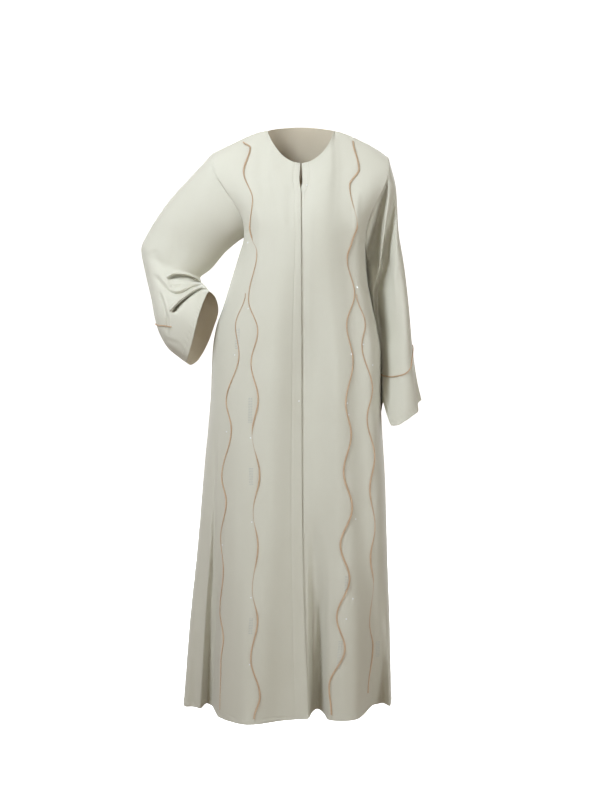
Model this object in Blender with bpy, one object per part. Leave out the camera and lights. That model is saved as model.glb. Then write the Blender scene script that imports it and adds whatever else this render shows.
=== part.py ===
"""Open-front abaya in the form it has when worn: a wall of cloth round an empty hollow.

Metres, +Z up. The front faces -Y and the wearer's right arm is at -X, bent, with its hand
on the hip; the left arm hangs. The origin is midway between the two side-neck points, at
their height, where the wearer's shoulders hold the garment up.

Each panel is a grid of points worked out from a few sections, a few profiles and a table
of folds. The grid is the outer face; the inner face lies one wall thickness behind it.
"""
import math

import bpy
import numpy as np

# ---- driving dimensions ---------------------------------------------------------------
WALL = 0.002                # thickness of every cloth wall
SEAM_GAP = 0.0003           # clearance between two pieces sewn together
SLEEVE_SEAM_GAP = 0.00045   # the same round the twisted rim of an armhole
HEM_Z = -1.335              # the hem at the centre, below the side-neck point
SIDE_HEM_Z = dict(right=-1.335, left=-1.326)    # the hem at each side seam
UNDERARM_CENTRE_Z = -0.255  # centre line at the level of the underarms

NECK_HALF_WIDTH = 0.075
NECK_FRONT = (-0.068, -0.075)    # y and z of the neckline at the centre front
NECK_BACK = (0.062, 0.012)       # y and z of the neckline at the centre back
NECK_SHARE = 0.37           # share of a panel's width that the neckline takes
NECK_DROP_POWER = 1.5       # how late the neckline falls towards the centre
SHOULDER_POWER = 1.45       # how the shoulder seam steepens towards its tip

ARMHOLE_HALF_DEPTH = 0.062  # half the armhole's size from front to back
ARMHOLE_CURL = 0.009        # S-curve of the armhole seen from the front
SECTION_FULLNESS = 2.25     # 2 is an ellipse, more is fuller at its corners

LAP_DROP = 0.0036           # how far the left front lies behind the right front's edge
LAP_BLEND = (0.004, 0.034)  # where the left front comes forward again, past that edge

TRIM_WIDTH = 0.0045         # braided cord sewn along the fronts and cuffs
TRIM_HEIGHT = 0.0016
TRIM_CLEARANCE = 0.0007     # between the cord and the cloth that it is sewn on
TRIM_STEP = 0.012           # spacing of the points along a cord
CORD_FINE = 5               # finer points per step, which the cord has to clear
CORD_SECTION = ((-0.5, 0.0), (0.5, 0.0), (0.32, 1.0), (-0.32, 1.0))     # shares of its sizes

LOWER_ROWS = 17             # rows of cloth from the hem to the underarm
ARMHOLE_ROWS = 10           # rows from the underarm to the shoulder tip
SLEEVE_ROWS = 24
CROWDED_SLEEVE = dict(right=(0.42, 0.76), left=(0.90, 1.0))  # where a sleeve's rows are closer
SLEEVE_CROWDING = 1.5       # how much closer
SLEEVE_LENGTH = 0.60        # along the middle of a sleeve
SLEEVE_BLEND = 0.3          # share of it over which the armhole's form fades out
MOUTH_START = 0.76          # where the form of the mouth begins
CUFF_STEP = 12.0            # degrees between the points of a cuff's cord
FRONT_COLUMNS = 21
BACK_COLUMNS = 31
RING_START, RING_RUN = 0.0, 0.45    # where the armhole's rim takes over from the side seam's
CROWDING = 3.0              # how much closer a panel's columns are at its steep folds
FOLD_GROWTH = 1.4           # how late a fold of the body deepens towards the hem
FOLD_ENDS = 3.0             # a sleeve's fold fades out over a third of its length at each end

FINE_PLACES = 401           # places among which crowded rows and columns are chosen
SEEK_STEPS = 40             # passes that find a point of the front seen from the front
SEEK_SHARE = 0.7            # share of the way covered by each pass
SEEK_NUDGE = 1e-4           # step for the slopes there
NORMAL_NUDGE = 5e-3         # step for the surface's direction under a cord

# ---- tables: one row for each section, profile height or fold -------------------------
# half-widths of the body, from the centre line to each side seam
SIDES = dict(
    columns=("z", "right", "left"),
    rows=(
        (-1.335, 0.277, 0.214),
        (-1.160, 0.261, 0.210),
        (-1.000, 0.246, 0.203),
        (-0.800, 0.228, 0.196),
        (-0.600, 0.2095, 0.184),
        (-0.500, 0.2035, 0.183),
        (-0.450, 0.195, 0.1755),
        (-0.400, 0.178, 0.165),
        (-0.320, 0.153, 0.151),
        (-0.235, 0.125, 0.146),
    ))
# depths of the body, from the side seams' plane to the centre front and the centre back
DEPTHS = dict(
    columns=("z", "front", "back"),
    rows=(
        (-1.335, 0.166, 0.185),
        (-1.000, 0.150, 0.157),
        (-0.800, 0.142, 0.143),
        (-0.600, 0.135, 0.131),
        (-0.450, 0.130, 0.118),
        (-0.350, 0.130, 0.110),
        (-0.270, 0.129, 0.112),
        (-0.200, 0.118, 0.112),
        (-0.140, 0.098, 0.106),
        (-0.075, 0.068, 0.094),
        (0.012, 0.050, 0.062),
    ))
# x of the two front edges: the right front laps over the left one below the open neck
OPENING = dict(
    columns=("z", "right", "left"),
    rows=(
        (-1.335, 0.016, -0.020),
        (-0.850, 0.002, -0.018),
        (-0.200, 0.000, -0.016),
        (-0.150, 0.000, -0.009),
        (-0.128, -0.0015, 0.001),
        (-0.116, -0.0035, 0.0035),
        (-0.075, -0.002, 0.002),
    ))
# armholes seen from the front: the shoulder tip's x and z, the underarm's height (it lies
# on the side seam), and the x of the hub that the wall's thickness points to
ARMHOLES = dict(
    right=dict(tip=(-0.204, -0.052), underarm_z=-0.238, hub=-0.120),
    left=dict(tip=(0.201, -0.060), underarm_z=-0.262, hub=0.148),
)
# folds that run down to the hem: where on the panel when full (0 centre, 1 side seam), how
# much further out it begins, half-width, depth when full (a valley is positive), heights
# where it begins and is full, edge softness
BODY_FOLDS = dict(
    columns=("panel", "at", "lean", "wide", "deep", "top", "full", "soft"),
    rows=(
        ("front_right", 0.530, 0.08, 0.110, 0.045, -0.88, -1.335, 0.35),
        ("front_right", 0.657, 0.00, 0.237, 0.068, -0.60, -1.335, 0.70),
        ("front_right", 0.270, 0.00, 0.200, -0.030, -0.75, -1.335, 1.0),
        ("front_right", 0.000, 0.00, 0.300, 0.012, -0.20, -0.55, 1.0),
        ("front_left", 0.000, 0.00, 0.300, 0.012, -0.20, -0.55, 1.0),
        ("front_left", 0.092, 0.035, 0.066, 0.066, -1.00, -1.335, 0.50),
        ("front_left", 0.340, 0.00, 0.180, -0.008, -0.40, -0.90, 1.0),
        ("front_left", 0.620, 0.00, 0.260, 0.070, -0.78, -1.335, 0.85),
        ("back", -0.66, 0.00, 0.170, 0.060, -0.62, -1.335, 0.8),
        ("back", -0.40, 0.00, 0.130, -0.018, -0.60, -1.335, 1.0),
        ("back", -0.16, 0.00, 0.130, 0.042, -0.50, -1.335, 0.9),
        ("back", 0.06, 0.00, 0.120, -0.015, -0.50, -1.335, 1.0),
        ("back", 0.30, 0.00, 0.140, 0.048, -0.66, -1.335, 0.9),
        ("back", 0.70, 0.00, 0.160, 0.052, -0.72, -1.335, 0.8),
    ))
# sleeve sections: the outer and inner edge seen from the front, the middle's y, how far
# the inner edge lies behind the outer one, the half depth, and how far the section's
# front point is moved along x and z
SLEEVE_COLUMNS = ("along", "outer_x", "outer_z", "inner_x", "inner_z", "y", "swing", "deep",
                  "lean_x", "lean_z")
SLEEVES = dict(
    right=dict(columns=SLEEVE_COLUMNS, rows=(
        (0.00, -0.204, -0.052, -0.126, -0.238, 0.000, 0.0, 0.062, 0.0, 0.0),
        (0.14, -0.260, -0.113, -0.142, -0.247, 0.006, 0.0, 0.064, 0.0, 0.0),
        (0.30, -0.318, -0.179, -0.173, -0.274, 0.016, 0.0, 0.062, 0.0, 0.0),
        (0.42, -0.353, -0.229, -0.207, -0.314, 0.024, 0.0, 0.058, 0.0, 0.0),
        (0.52, -0.370, -0.271, -0.233, -0.335, 0.024, 0.0, 0.056, 0.0, 0.0),
        (0.62, -0.360, -0.320, -0.230, -0.344, 0.012, 0.0, 0.058, 0.0, 0.0),
        (0.74, -0.344, -0.382, -0.2195, -0.354, -0.008, 0.0, 0.058, -0.004, 0.0),
        (0.86, -0.330, -0.442, -0.2150, -0.360, -0.026, 0.0, 0.052, -0.010, 0.0),
        (0.94, -0.303, -0.493, -0.2120, -0.364, -0.034, 0.0, 0.048, -0.014, 0.0),
        (1.00, -0.256, -0.530, -0.2100, -0.366, -0.040, 0.0, 0.045, -0.018, 0.0),
    )),
    left=dict(columns=SLEEVE_COLUMNS, rows=(
        (0.00, 0.201, -0.060, 0.147, -0.262, 0.000, 0.000, 0.062, 0.0, 0.0),
        (0.14, 0.2190, -0.134, 0.1505, -0.297, 0.011, 0.034, 0.064, 0.002, 0.0),
        (0.30, 0.2230, -0.222, 0.1535, -0.345, 0.007, 0.050, 0.062, 0.004, -0.004),
        (0.45, 0.2345, -0.305, 0.1630, -0.395, 0.003, 0.058, 0.060, 0.006, -0.008),
        (0.60, 0.2460, -0.398, 0.1752, -0.455, -0.003, 0.062, 0.060, 0.006, -0.012),
        (0.75, 0.2550, -0.482, 0.1845, -0.515, -0.012, 0.052, 0.062, 0.002, -0.018),
        (0.90, 0.2660, -0.566, 0.1866, -0.575, -0.0155, 0.055, 0.064, -0.004, -0.030),
        (1.00, 0.2756, -0.613, 0.1866, -0.612, -0.020, 0.052, 0.064, -0.006, -0.050),
    )),
)
# the sleeves' mouths: x, y and z at each angle round them
MOUTH_COLUMNS = ("turn", "x", "y", "z")
MOUTHS = dict(
    right=dict(columns=MOUTH_COLUMNS, rows=(
        (0.0, -0.2601, -0.0490, -0.5263), (30.0, -0.2560, -0.0680, -0.5086),
        (60.0, -0.2457, -0.0830, -0.4745), (90.0, -0.2369, -0.0900, -0.4390),
        (120.0, -0.2281, -0.0860, -0.4076), (150.0, -0.2187, -0.0660, -0.3815),
        (180.0, -0.2100, -0.0380, -0.3660), (210.0, -0.1965, -0.0140, -0.3826),
        (240.0, -0.1911, 0.0000, -0.4108), (270.0, -0.2027, 0.0020, -0.4509),
        (300.0, -0.2130, 0.0000, -0.4797), (328.0, -0.2276, -0.0140, -0.5093),
        (342.0, -0.2416, -0.0280, -0.5273), (351.0, -0.2525, -0.0400, -0.5321),
        (360.0, -0.2601, -0.0490, -0.5263))),
    left=dict(columns=MOUTH_COLUMNS, rows=(
        (0.0, 0.2756, -0.0460, -0.6126), (15.0, 0.2660, -0.0600, -0.6203),
        (30.0, 0.2661, -0.0730, -0.6327), (60.0, 0.2518, -0.0900, -0.6449),
        (90.0, 0.2344, -0.0970, -0.6567), (115.0, 0.2199, -0.0950, -0.6653),
        (135.0, 0.2057, -0.0850, -0.6672), (152.0, 0.1952, -0.0650, -0.6439),
        (166.0, 0.1890, -0.0420, -0.6188), (177.0, 0.1884, -0.0220, -0.6267),
        (187.0, 0.1870, -0.0040, -0.6426), (197.0, 0.1846, 0.0120, -0.6397),
        (210.0, 0.1852, 0.0260, -0.6272), (225.0, 0.1944, 0.0340, -0.6209),
        (240.0, 0.2063, 0.0360, -0.6223), (270.0, 0.2296, 0.0340, -0.6280),
        (300.0, 0.2525, 0.0260, -0.6272), (330.0, 0.2683, 0.0020, -0.6199),
        (345.0, 0.2746, -0.0220, -0.6151), (360.0, 0.2756, -0.0460, -0.6126))),
)
# folds on the sleeves: the line that the fold follows, from one place to another along the
# sleeve and round it (0 outer edge, 90 front, 180 inner edge), half-width in degrees, depth
SLEEVE_FOLDS = dict(
    columns=("sleeve", "from_along", "from_turn", "to_along", "to_turn", "wide", "deep"),
    rows=(
        ("right", 0.610, 66.0, 0.620, 176.0, 0.026, 0.010),
        ("right", 0.690, 60.0, 0.690, 176.0, 0.026, 0.008),
        ("right", 0.860, 74.0, 0.740, 172.0, 0.034, 0.011),
        ("right", 0.600, 200.0, 0.620, 300.0, 0.030, 0.009),
        ("left", 0.08, 66.0, 0.62, 104.0, 17.0, 0.014),
        ("left", 0.05, 100.0, 0.48, 150.0, 19.0, 0.016),
        ("left", 0.42, 138.0, 0.95, 148.0, 22.0, 0.010),
    ))
# cords: the turning points of each wave, seen from the front
CORDS = dict(
    trim_right_inner=dict(panel="front_right", turns=(
        (-0.1310, -0.026), (-0.1150, -0.040), (-0.1290, -0.095), (-0.1080, -0.158),
        (-0.1130, -0.226), (-0.0985, -0.272), (-0.1180, -0.380), (-0.0965, -0.450),
        (-0.1120, -0.522), (-0.0955, -0.602), (-0.1095, -0.682), (-0.0930, -0.772),
        (-0.1080, -0.858), (-0.0970, -0.933), (-0.1100, -1.032), (-0.0980, -1.100),
        (-0.1130, -1.186), (-0.0930, -1.272), (-0.1060, -1.322))),
    trim_right_outer=dict(panel="front_right", turns=(
        (-0.1250, -0.366), (-0.1480, -0.441), (-0.1400, -0.504), (-0.1690, -0.612),
        (-0.1570, -0.673), (-0.1800, -0.784), (-0.1690, -0.839), (-0.1830, -0.926),
        (-0.1760, -0.994), (-0.1850, -1.095), (-0.1770, -1.152), (-0.1830, -1.208),
        (-0.1850, -1.318))),
    trim_left_inner=dict(panel="front_left", turns=(
        (0.1180, -0.024), (0.1300, -0.088), (0.1090, -0.126), (0.1240, -0.220),
        (0.1030, -0.289), (0.1200, -0.368), (0.1020, -0.436), (0.1165, -0.518),
        (0.1000, -0.613), (0.1125, -0.683), (0.0960, -0.766), (0.1155, -0.848),
        (0.0890, -0.932), (0.1090, -1.008), (0.0815, -1.096), (0.0990, -1.167),
        (0.0650, -1.258), (0.0700, -1.322))),
    trim_left_outer=dict(panel="front_left", turns=(
        (0.1240, -0.366), (0.1445, -0.437), (0.1370, -0.482), (0.1610, -0.582),
        (0.1490, -0.648), (0.1665, -0.736), (0.1560, -0.808), (0.1680, -0.895),
        (0.1580, -0.968), (0.1655, -1.030), (0.1570, -1.122), (0.1650, -1.180),
        (0.1540, -1.290))),
)
# cuff cords: the place along the sleeve at each angle round it
CUFF_CORDS = dict(
    cuff_trim_right=dict(sleeve="right", turns=(
        (-150.0, 0.87), (-70.0, 0.895), (2.0, 0.858), (37.0, 0.883), (55.0, 0.916))),
    cuff_trim_left=dict(sleeve="left", turns=(
        (-172.0, 0.84), (-90.0, 0.815), (0.0, 0.765), (32.0, 0.785), (44.0, 0.812),
        (66.0, 0.821), (106.0, 0.818), (132.0, 0.818), (168.0, 0.846))),
)

CLOTH_COLOUR = (0.70, 0.69, 0.62)
CORD_COLOUR = (0.60, 0.39, 0.27)


# ---- small tools ----------------------------------------------------------------------
def column(table, name):
    """One named column of a table, as an array."""
    place = table["columns"].index(name)
    return np.array([row[place] for row in table["rows"]], dtype=float)


def records(table):
    """The rows of a table, each as a dictionary."""
    return [dict(zip(table["columns"], row)) for row in table["rows"]]


def smooth(knots, values, at):
    """Cubic curve through the values that never overshoots them; straight past the ends."""
    order = np.argsort(knots)
    knots, values = knots[order], values[order]
    steps = np.diff(knots)
    slopes = np.diff(values) / steps
    bends = np.zeros_like(values)
    same_way = slopes[:-1] * slopes[1:] > 0
    mean = 2.0 * slopes[:-1] * slopes[1:] / np.where(same_way, slopes[:-1] + slopes[1:], 1.0)
    bends[1:-1] = np.where(same_way, mean, 0.0)
    bends[0], bends[-1] = slopes[0], slopes[-1]
    at = np.clip(at, knots[0], knots[-1])
    span = np.clip(np.searchsorted(knots, at) - 1, 0, len(steps) - 1)
    width = steps[span]
    f = (at - knots[span]) / width
    return ((1 + 2 * f) * (1 - f) ** 2 * values[span] + f ** 2 * (3 - 2 * f) * values[span + 1]
            + f * (1 - f) ** 2 * width * bends[span] - f ** 2 * (1 - f) * width * bends[span + 1])


def read(table, name, key, at):
    """A table's column at any place between its rows."""
    return smooth(column(table, key), column(table, name), np.asarray(at, dtype=float))


def ramp(value):
    """0 below 0, 1 above 1, with a soft start and end."""
    value = np.clip(value, 0.0, 1.0)
    return value * value * (3.0 - 2.0 * value)


def mix(a, b, share):
    return a + (b - a) * share


def stack(x, y, z):
    return np.stack(np.broadcast_arrays(x, y, z), axis=-1).astype(float)


def unit(vectors):
    return vectors / np.linalg.norm(vectors, axis=-1, keepdims=True)


# ---- the body -------------------------------------------------------------------------
def fold_depth(panel, place, z):
    """How far the panel's folds push the cloth inwards."""
    depth = np.zeros(np.broadcast(place, z).shape)
    for fold in records(BODY_FOLDS):
        if fold["panel"] == panel:
            grown = np.clip((fold["top"] - z) / (fold["top"] - fold["full"]), 0.0, 1.0)
            off_line = np.abs(place - fold["at"] - fold["lean"] * (1.0 - grown)) / fold["wide"]
            across = ramp((1.0 - off_line) / fold["soft"])
            depth = depth + fold["deep"] * across * grown ** FOLD_GROWTH
    return depth


def outward(side):
    return -1.0 if side == "right" else 1.0


def underarm(side):
    """x and z of the underarm, the top of the side seam."""
    z = ARMHOLES[side]["underarm_z"]
    return float(outward(side) * read(SIDES, side, "z", z)), z


def armhole(side, turn):
    """Point of an armhole's ring: turn 0 is the shoulder tip, 90 the front, 180 the underarm."""
    tip_x, tip_z = ARMHOLES[side]["tip"]
    low_x, low_z = underarm(side)
    angle = np.radians(turn)
    fallen = (1.0 - np.cos(angle)) / 2.0
    x = mix(tip_x, low_x, fallen)
    x = x + outward(side) * ARMHOLE_CURL * np.sin(2.0 * np.pi * fallen)
    return stack(x, -ARMHOLE_HALF_DEPTH * np.sin(angle), mix(tip_z, low_z, fallen))


def section(side, face, place, level):
    """Body below the underarms: place 0 is the centre, 1 the side seam; level 0 is the hem."""
    edge_top = ARMHOLES[side]["underarm_z"]
    centre_z = mix(HEM_Z, UNDERARM_CENTRE_Z, level)
    edge_z = mix(SIDE_HEM_Z[side], edge_top, level)
    z = mix(centre_z, edge_z, place ** 2)
    angle = np.radians(90.0 * place)
    power = 2.0 / SECTION_FULLNESS
    x = outward(side) * read(SIDES, side, "z", z) * np.sign(angle) * np.abs(np.sin(angle)) ** power
    y = read(DEPTHS, face, "z", z) * np.abs(np.cos(angle)) ** power
    return stack(x, -y if face == "front" else y, z)


def top_edge(side, face, place):
    """Neckline, then shoulder seam, from the centre out to the shoulder tip."""
    tip_x, tip_z = ARMHOLES[side]["tip"]
    neck_x = outward(side) * NECK_HALF_WIDTH
    neck_y, neck_z = NECK_FRONT if face == "front" else NECK_BACK
    angle = np.radians(90.0 * np.clip(place / NECK_SHARE, -1.0, 1.0))
    seam = np.clip((place - NECK_SHARE) / (1.0 - NECK_SHARE), 0.0, 1.0)
    x = neck_x * np.sin(angle) + (tip_x - neck_x) * seam
    y = neck_y * np.cos(angle)
    z = neck_z * np.abs(np.cos(angle)) ** NECK_DROP_POWER + tip_z * seam ** SHOULDER_POWER
    return stack(x, y, z)


def centre_line(face, rise):
    """Centre front or centre back from the underarm level up to the neckline."""
    neck_z = (NECK_FRONT if face == "front" else NECK_BACK)[1]
    z = mix(UNDERARM_CENTRE_Z, neck_z, rise)
    y = read(DEPTHS, face, "z", z)
    return stack(0.0, -y if face == "front" else y, z)


def yoke(side, face, place, rise):
    """Body above the underarms: a four-sided patch between its four edge curves."""
    blend = ramp(rise)[..., None]
    share = place[..., None]
    turn = 180.0 * (1.0 - rise)
    edge = armhole(side, turn if face == "front" else -turn)
    low = section(side, face, place, np.ones_like(place))
    high = top_edge(side, face, place)
    centre = centre_line(face, rise)
    zero, one = np.zeros_like(place), np.ones_like(place)
    corner_low = mix(section(side, face, zero, one), section(side, face, one, one), share)
    corner_high = mix(top_edge(side, face, zero), top_edge(side, face, one), share)
    return (mix(low, high, blend) + mix(centre, edge, share)
            - mix(corner_low, corner_high, blend))


def body_surface(panel, side, face, place, rise):
    """Outer face of the body; rise runs from -1 at the hem, over 0 at the underarm, to 1."""
    place, rise = np.broadcast_arrays(np.asarray(place, float), np.asarray(rise, float))
    below = section(side, face, place, np.clip(rise + 1.0, 0.0, 1.0))
    above = yoke(side, face, place, np.clip(rise, 0.0, 1.0))
    points = np.where((rise > 0.0)[..., None], above, below)
    signed = place * (-1.0 if side == "right" and face == "back" else 1.0)
    inwards = 1.0 if face == "front" else -1.0
    points[..., 1] += inwards * fold_depth(panel, signed, points[..., 2])
    points[..., 1] -= inwards * SEAM_GAP / 2.0
    return points


def front_surface(side, share, rise):
    """Outer face of a front: share 0 is its free front edge, 1 its side seam and armhole."""
    panel = "front_" + side
    share, rise = np.broadcast_arrays(np.asarray(share, float), np.asarray(rise, float))
    centre = body_surface(panel, side, "front", np.zeros_like(share), rise)
    edge_z = centre[..., 2]
    start = outward(side) * read(OPENING, side, "z", edge_z) / read(SIDES, side, "z", edge_z)
    start = np.sign(start) * np.degrees(np.arcsin(np.abs(start) ** (SECTION_FULLNESS / 2.0))) / 90.0
    place = share + start * ramp(1.0 - share / NECK_SHARE)
    points = body_surface(panel, side, "front", place, rise)
    if side == "left":
        start, end = LAP_BLEND
        past_edge = points[..., 0] - read(OPENING, "right", "z", points[..., 2])
        points[..., 1] += LAP_DROP * (1.0 - ramp((past_edge - start) / (end - start)))
    return points


def back_surface(place, rise):
    """Outer face of the back: place -1 is the right side seam, 1 the left one."""
    place, rise = np.broadcast_arrays(np.asarray(place, float), np.asarray(rise, float))
    right = body_surface("back", "right", "back", np.abs(place), rise)
    left = body_surface("back", "left", "back", np.abs(place), rise)
    return np.where((place < 0.0)[..., None], right, left)


# ---- the sleeves ----------------------------------------------------------------------
def sleeve_section(side, along, turn):
    """Point of a sleeve's plain section, before it is joined to the armhole and folded."""
    table = SLEEVES[side]
    value = {name: read(table, name, "along", along) for name in SLEEVE_COLUMNS[1:]}
    angle = np.radians(turn)
    over, forward = np.cos(angle), np.sin(angle)
    mid_x = (value["outer_x"] + value["inner_x"]) / 2.0
    mid_z = (value["outer_z"] + value["inner_z"]) / 2.0
    x = mid_x + (value["outer_x"] - mid_x) * over + value["lean_x"] * forward
    y = value["y"] - value["deep"] * forward - value["swing"] / 2.0 * over
    z = mid_z + (value["outer_z"] - mid_z) * over + value["lean_z"] * forward
    return stack(x, y, z)


def mouth(side, turn):
    """Point of a sleeve's open end."""
    turn = np.mod(turn, 360.0)
    return stack(*(read(MOUTHS[side], axis, "turn", turn) for axis in "xyz"))


def sleeve_surface(side, along, turn):
    """Outer face of a sleeve: along 0 is the armhole, 1 the cuff; turn as on the armhole."""
    along, turn = np.broadcast_arrays(np.asarray(along, float), np.asarray(turn, float))
    points = sleeve_section(side, along, turn)
    to_ring = armhole(side, turn) - sleeve_section(side, np.zeros_like(along), turn)
    to_mouth = mouth(side, turn) - sleeve_section(side, np.ones_like(along), turn)
    points += to_ring * (1.0 - ramp(along / SLEEVE_BLEND))[..., None]
    return points + to_mouth * ramp((along - MOUTH_START) / (1.0 - MOUTH_START))[..., None]


def sleeve_fold_depth(side, along, turn):
    """How far the folds push the sleeve's cloth inwards."""
    depth = np.zeros(np.broadcast(along, turn).shape)
    for fold in records(SLEEVE_FOLDS):
        if fold["sleeve"] != side:
            continue
        if side == "left":
            reach = (along - fold["from_along"]) / (fold["to_along"] - fold["from_along"])
            line = mix(fold["from_turn"], fold["to_turn"], reach)
            off_line = np.abs(turn - line) / fold["wide"]
        else:
            reach = (turn - fold["from_turn"]) / (fold["to_turn"] - fold["from_turn"])
            line = mix(fold["from_along"], fold["to_along"], reach)
            off_line = np.abs(along - line) / fold["wide"]
        ends = ramp(reach * FOLD_ENDS) * ramp((1.0 - reach) * FOLD_ENDS)
        depth = depth + fold["deep"] * ramp(1.0 - off_line) * ends
    return depth


def spread(density, count):
    """Places from 0 to 1, closer together where the density is higher."""
    total = np.concatenate([[0.0], np.cumsum((density[1:] + density[:-1]) / 2.0)])
    fine = np.linspace(0.0, 1.0, len(density))
    return np.interp(np.linspace(0.0, total[-1], count), total, fine)


def sleeve_rows(side):
    """Places along a sleeve, closer together where its folds cross it."""
    start, end = CROWDED_SLEEVE[side]
    fine = np.linspace(0.0, 1.0, FINE_PLACES)
    density = 1.0 + SLEEVE_CROWDING * ((fine > start) & (fine < end))
    return spread(density, SLEEVE_ROWS + 1)


# ---- meshes ---------------------------------------------------------------------------
def grid_normals(points, closed=False):
    """Unit normals of a grid of points, with the second index running round if closed."""
    if closed:
        around = np.roll(points, -1, axis=1) - np.roll(points, 1, axis=1)
    else:
        around = np.gradient(points, axis=1)
    along = np.gradient(points, axis=0)
    return unit(np.cross(around, along))


def material(name, colour, roughness, metallic=0.0):
    made = bpy.data.materials.new(name)
    made.use_nodes = True
    shader = made.node_tree.nodes["Principled BSDF"]
    shader.inputs["Base Color"].default_value = (*colour, 1.0)
    shader.inputs["Roughness"].default_value = roughness
    shader.inputs["Metallic"].default_value = metallic
    return made


def facing_out(vertices, faces):
    """The triangles, turned over if they enclose a negative volume."""
    corners = vertices[np.array(faces)]
    volume = np.sum(corners[:, 0] * np.cross(corners[:, 1], corners[:, 2]))
    return faces if volume > 0.0 else [face[::-1] for face in faces]


def add_object(name, vertices, faces, finish):
    faces = facing_out(vertices, faces)
    mesh = bpy.data.meshes.new(name)
    mesh.from_pydata([tuple(vertex) for vertex in vertices], [], faces)
    mesh.materials.append(finish)
    mesh.shade_smooth()
    mesh.set_sharp_from_angle(angle=math.radians(60.0))
    mesh.update()
    made = bpy.data.objects.new(name, mesh)
    bpy.context.scene.collection.objects.link(made)
    return made


def two_triangles(a, b, c, d, turned=False):
    """The four-sided face a b c d as two triangles, always cut from a to c."""
    if turned:
        return [(a, c, b), (a, d, c)]
    return [(a, b, c), (a, c, d)]


def add_wall(name, outer, inner, finish, closed=False):
    """Closed solid between two grids of points, with a rim along each open edge."""
    rows, columns = outer.shape[:2]
    vertices = np.concatenate([outer.reshape(-1, 3), inner.reshape(-1, 3)])
    back = rows * columns
    faces = []

    def at(i, j):
        return i * columns + j % columns

    last = columns if closed else columns - 1
    for i in range(rows - 1):
        for j in range(last):
            corners = (at(i, j), at(i, j + 1), at(i + 1, j + 1), at(i + 1, j))
            faces += two_triangles(*corners)
            faces += two_triangles(*(back + corner for corner in corners), turned=True)
    for j in range(last):
        for i, turned in ((0, True), (rows - 1, False)):
            a, b = at(i, j), at(i, j + 1)
            faces += two_triangles(a, b, back + b, back + a, turned)
    if not closed:
        for i in range(rows - 1):
            for j, turned in ((0, False), (columns - 1, True)):
                a, b = at(i, j), at(i + 1, j)
                faces += two_triangles(a, b, back + b, back + a, turned)
    return add_object(name, vertices, faces, finish)


def crowded(count, panel):
    """Places from 0 to 1 that crowd together where the panel's folds are steep."""
    fine = np.linspace(0.0, 1.0, FINE_PLACES)
    density = np.ones_like(fine)
    for fold in records(BODY_FOLDS):
        if fold["panel"] == panel:
            slope = abs(fold["deep"]) / fold["wide"]
            density += CROWDING * slope * (np.abs(fine - abs(fold["at"])) < fold["wide"])
    places = spread(density, count)
    places[np.argmin(np.abs(places - NECK_SHARE))] = NECK_SHARE
    return places


def rise_steps():
    """Rows from the hem (-1) over the underarm (0) to the shoulder tip (1)."""
    lower = np.linspace(-1.0, 0.0, LOWER_ROWS + 1)
    upper = np.linspace(0.0, 1.0, ARMHOLE_ROWS + 1)[1:]
    return np.concatenate([lower, upper])


def ring_normals(points, side):
    """Shared direction of the wall's thickness along an armhole, away from its hub."""
    hole = ARMHOLES[side]
    hub = np.array([hole["hub"], 0.0, (hole["tip"][1] + hole["underarm_z"]) / 2.0])
    return unit(points - hub)


def seam_normals(normals, points, side, column_index):
    """Keep the side seam's rim square to its plane and the armhole's rim on its ring.

    Near the underarm, where body and sleeve part in a narrow V, the body keeps its own
    direction.
    """
    edge = normals[:, column_index].copy()
    edge[:LOWER_ROWS + 1, 1] = 0.0
    ring = ring_normals(points[:, column_index], side)
    share = ramp((rise_steps() - RING_START) / RING_RUN)[:, None]
    normals[:, column_index] = unit(mix(unit(edge), ring, share))


def flatten_top(normals, columns):
    """Keep the shoulder seam's rim square to the plane between front and back."""
    top = normals[-1, columns]
    top[:, 1] = 0.0
    normals[-1, columns] = unit(top)


def make_front(side, finish):
    shares, _, points = front_grid(side)
    normals = grid_normals(points)
    if side == "right":
        normals = -normals
    flatten_top(normals, shares >= NECK_SHARE)
    seam_normals(normals, points, side, -1)
    return add_wall("front_" + side, points, points - WALL * normals, finish)


def make_back(finish):
    half = crowded((BACK_COLUMNS + 1) // 2, "back")
    places = np.concatenate([-half[:0:-1], half])
    points = back_surface(places[None, :], rise_steps()[:, None])
    normals = -grid_normals(points)
    flatten_top(normals, np.abs(places) >= NECK_SHARE)
    seam_normals(normals, points, "right", 0)
    seam_normals(normals, points, "left", -1)
    return add_wall("back", points, points - WALL * normals, finish)


def sleeve_walls(side, along, turns):
    """Outer and inner face of a sleeve at the given places."""
    points = sleeve_surface(side, along[:, None], turns[None, :])
    normals = grid_normals(points, closed=True)
    axis = points.mean(axis=1, keepdims=True)
    if np.sum(normals * (points - axis)) < 0.0:
        normals = -normals
    depth = sleeve_fold_depth(side, along[:, None], turns[None, :])
    points = points - depth[..., None] * normals
    folded = grid_normals(points, closed=True)
    normals = folded * np.sign(np.sum(folded * normals))
    normals[0] = ring_normals(points[0], side)
    inner = points - WALL * normals
    ring_way = np.roll(points[0], -1, axis=0) - np.roll(points[0], 1, axis=0)
    away = unit(np.cross(ring_way, normals[0]))
    down_sleeve = unit(points[2].mean(axis=0) - points[0].mean(axis=0))
    away = away * np.sign(np.sum(away * down_sleeve))
    points[0] += SLEEVE_SEAM_GAP * away
    inner[0] += SLEEVE_SEAM_GAP * away
    return points, inner


def sleeve_grid(side):
    """Places along and round a sleeve, with the points of its outer and inner faces."""
    along = sleeve_rows(side)
    turns = np.arange(2 * ARMHOLE_ROWS) * 180.0 / ARMHOLE_ROWS
    return along, turns, *sleeve_walls(side, along, turns)


def make_sleeve(side, finish):
    _, _, outer, inner = sleeve_grid(side)
    return add_wall("sleeve_" + side, outer, inner, finish, closed=True)


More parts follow.
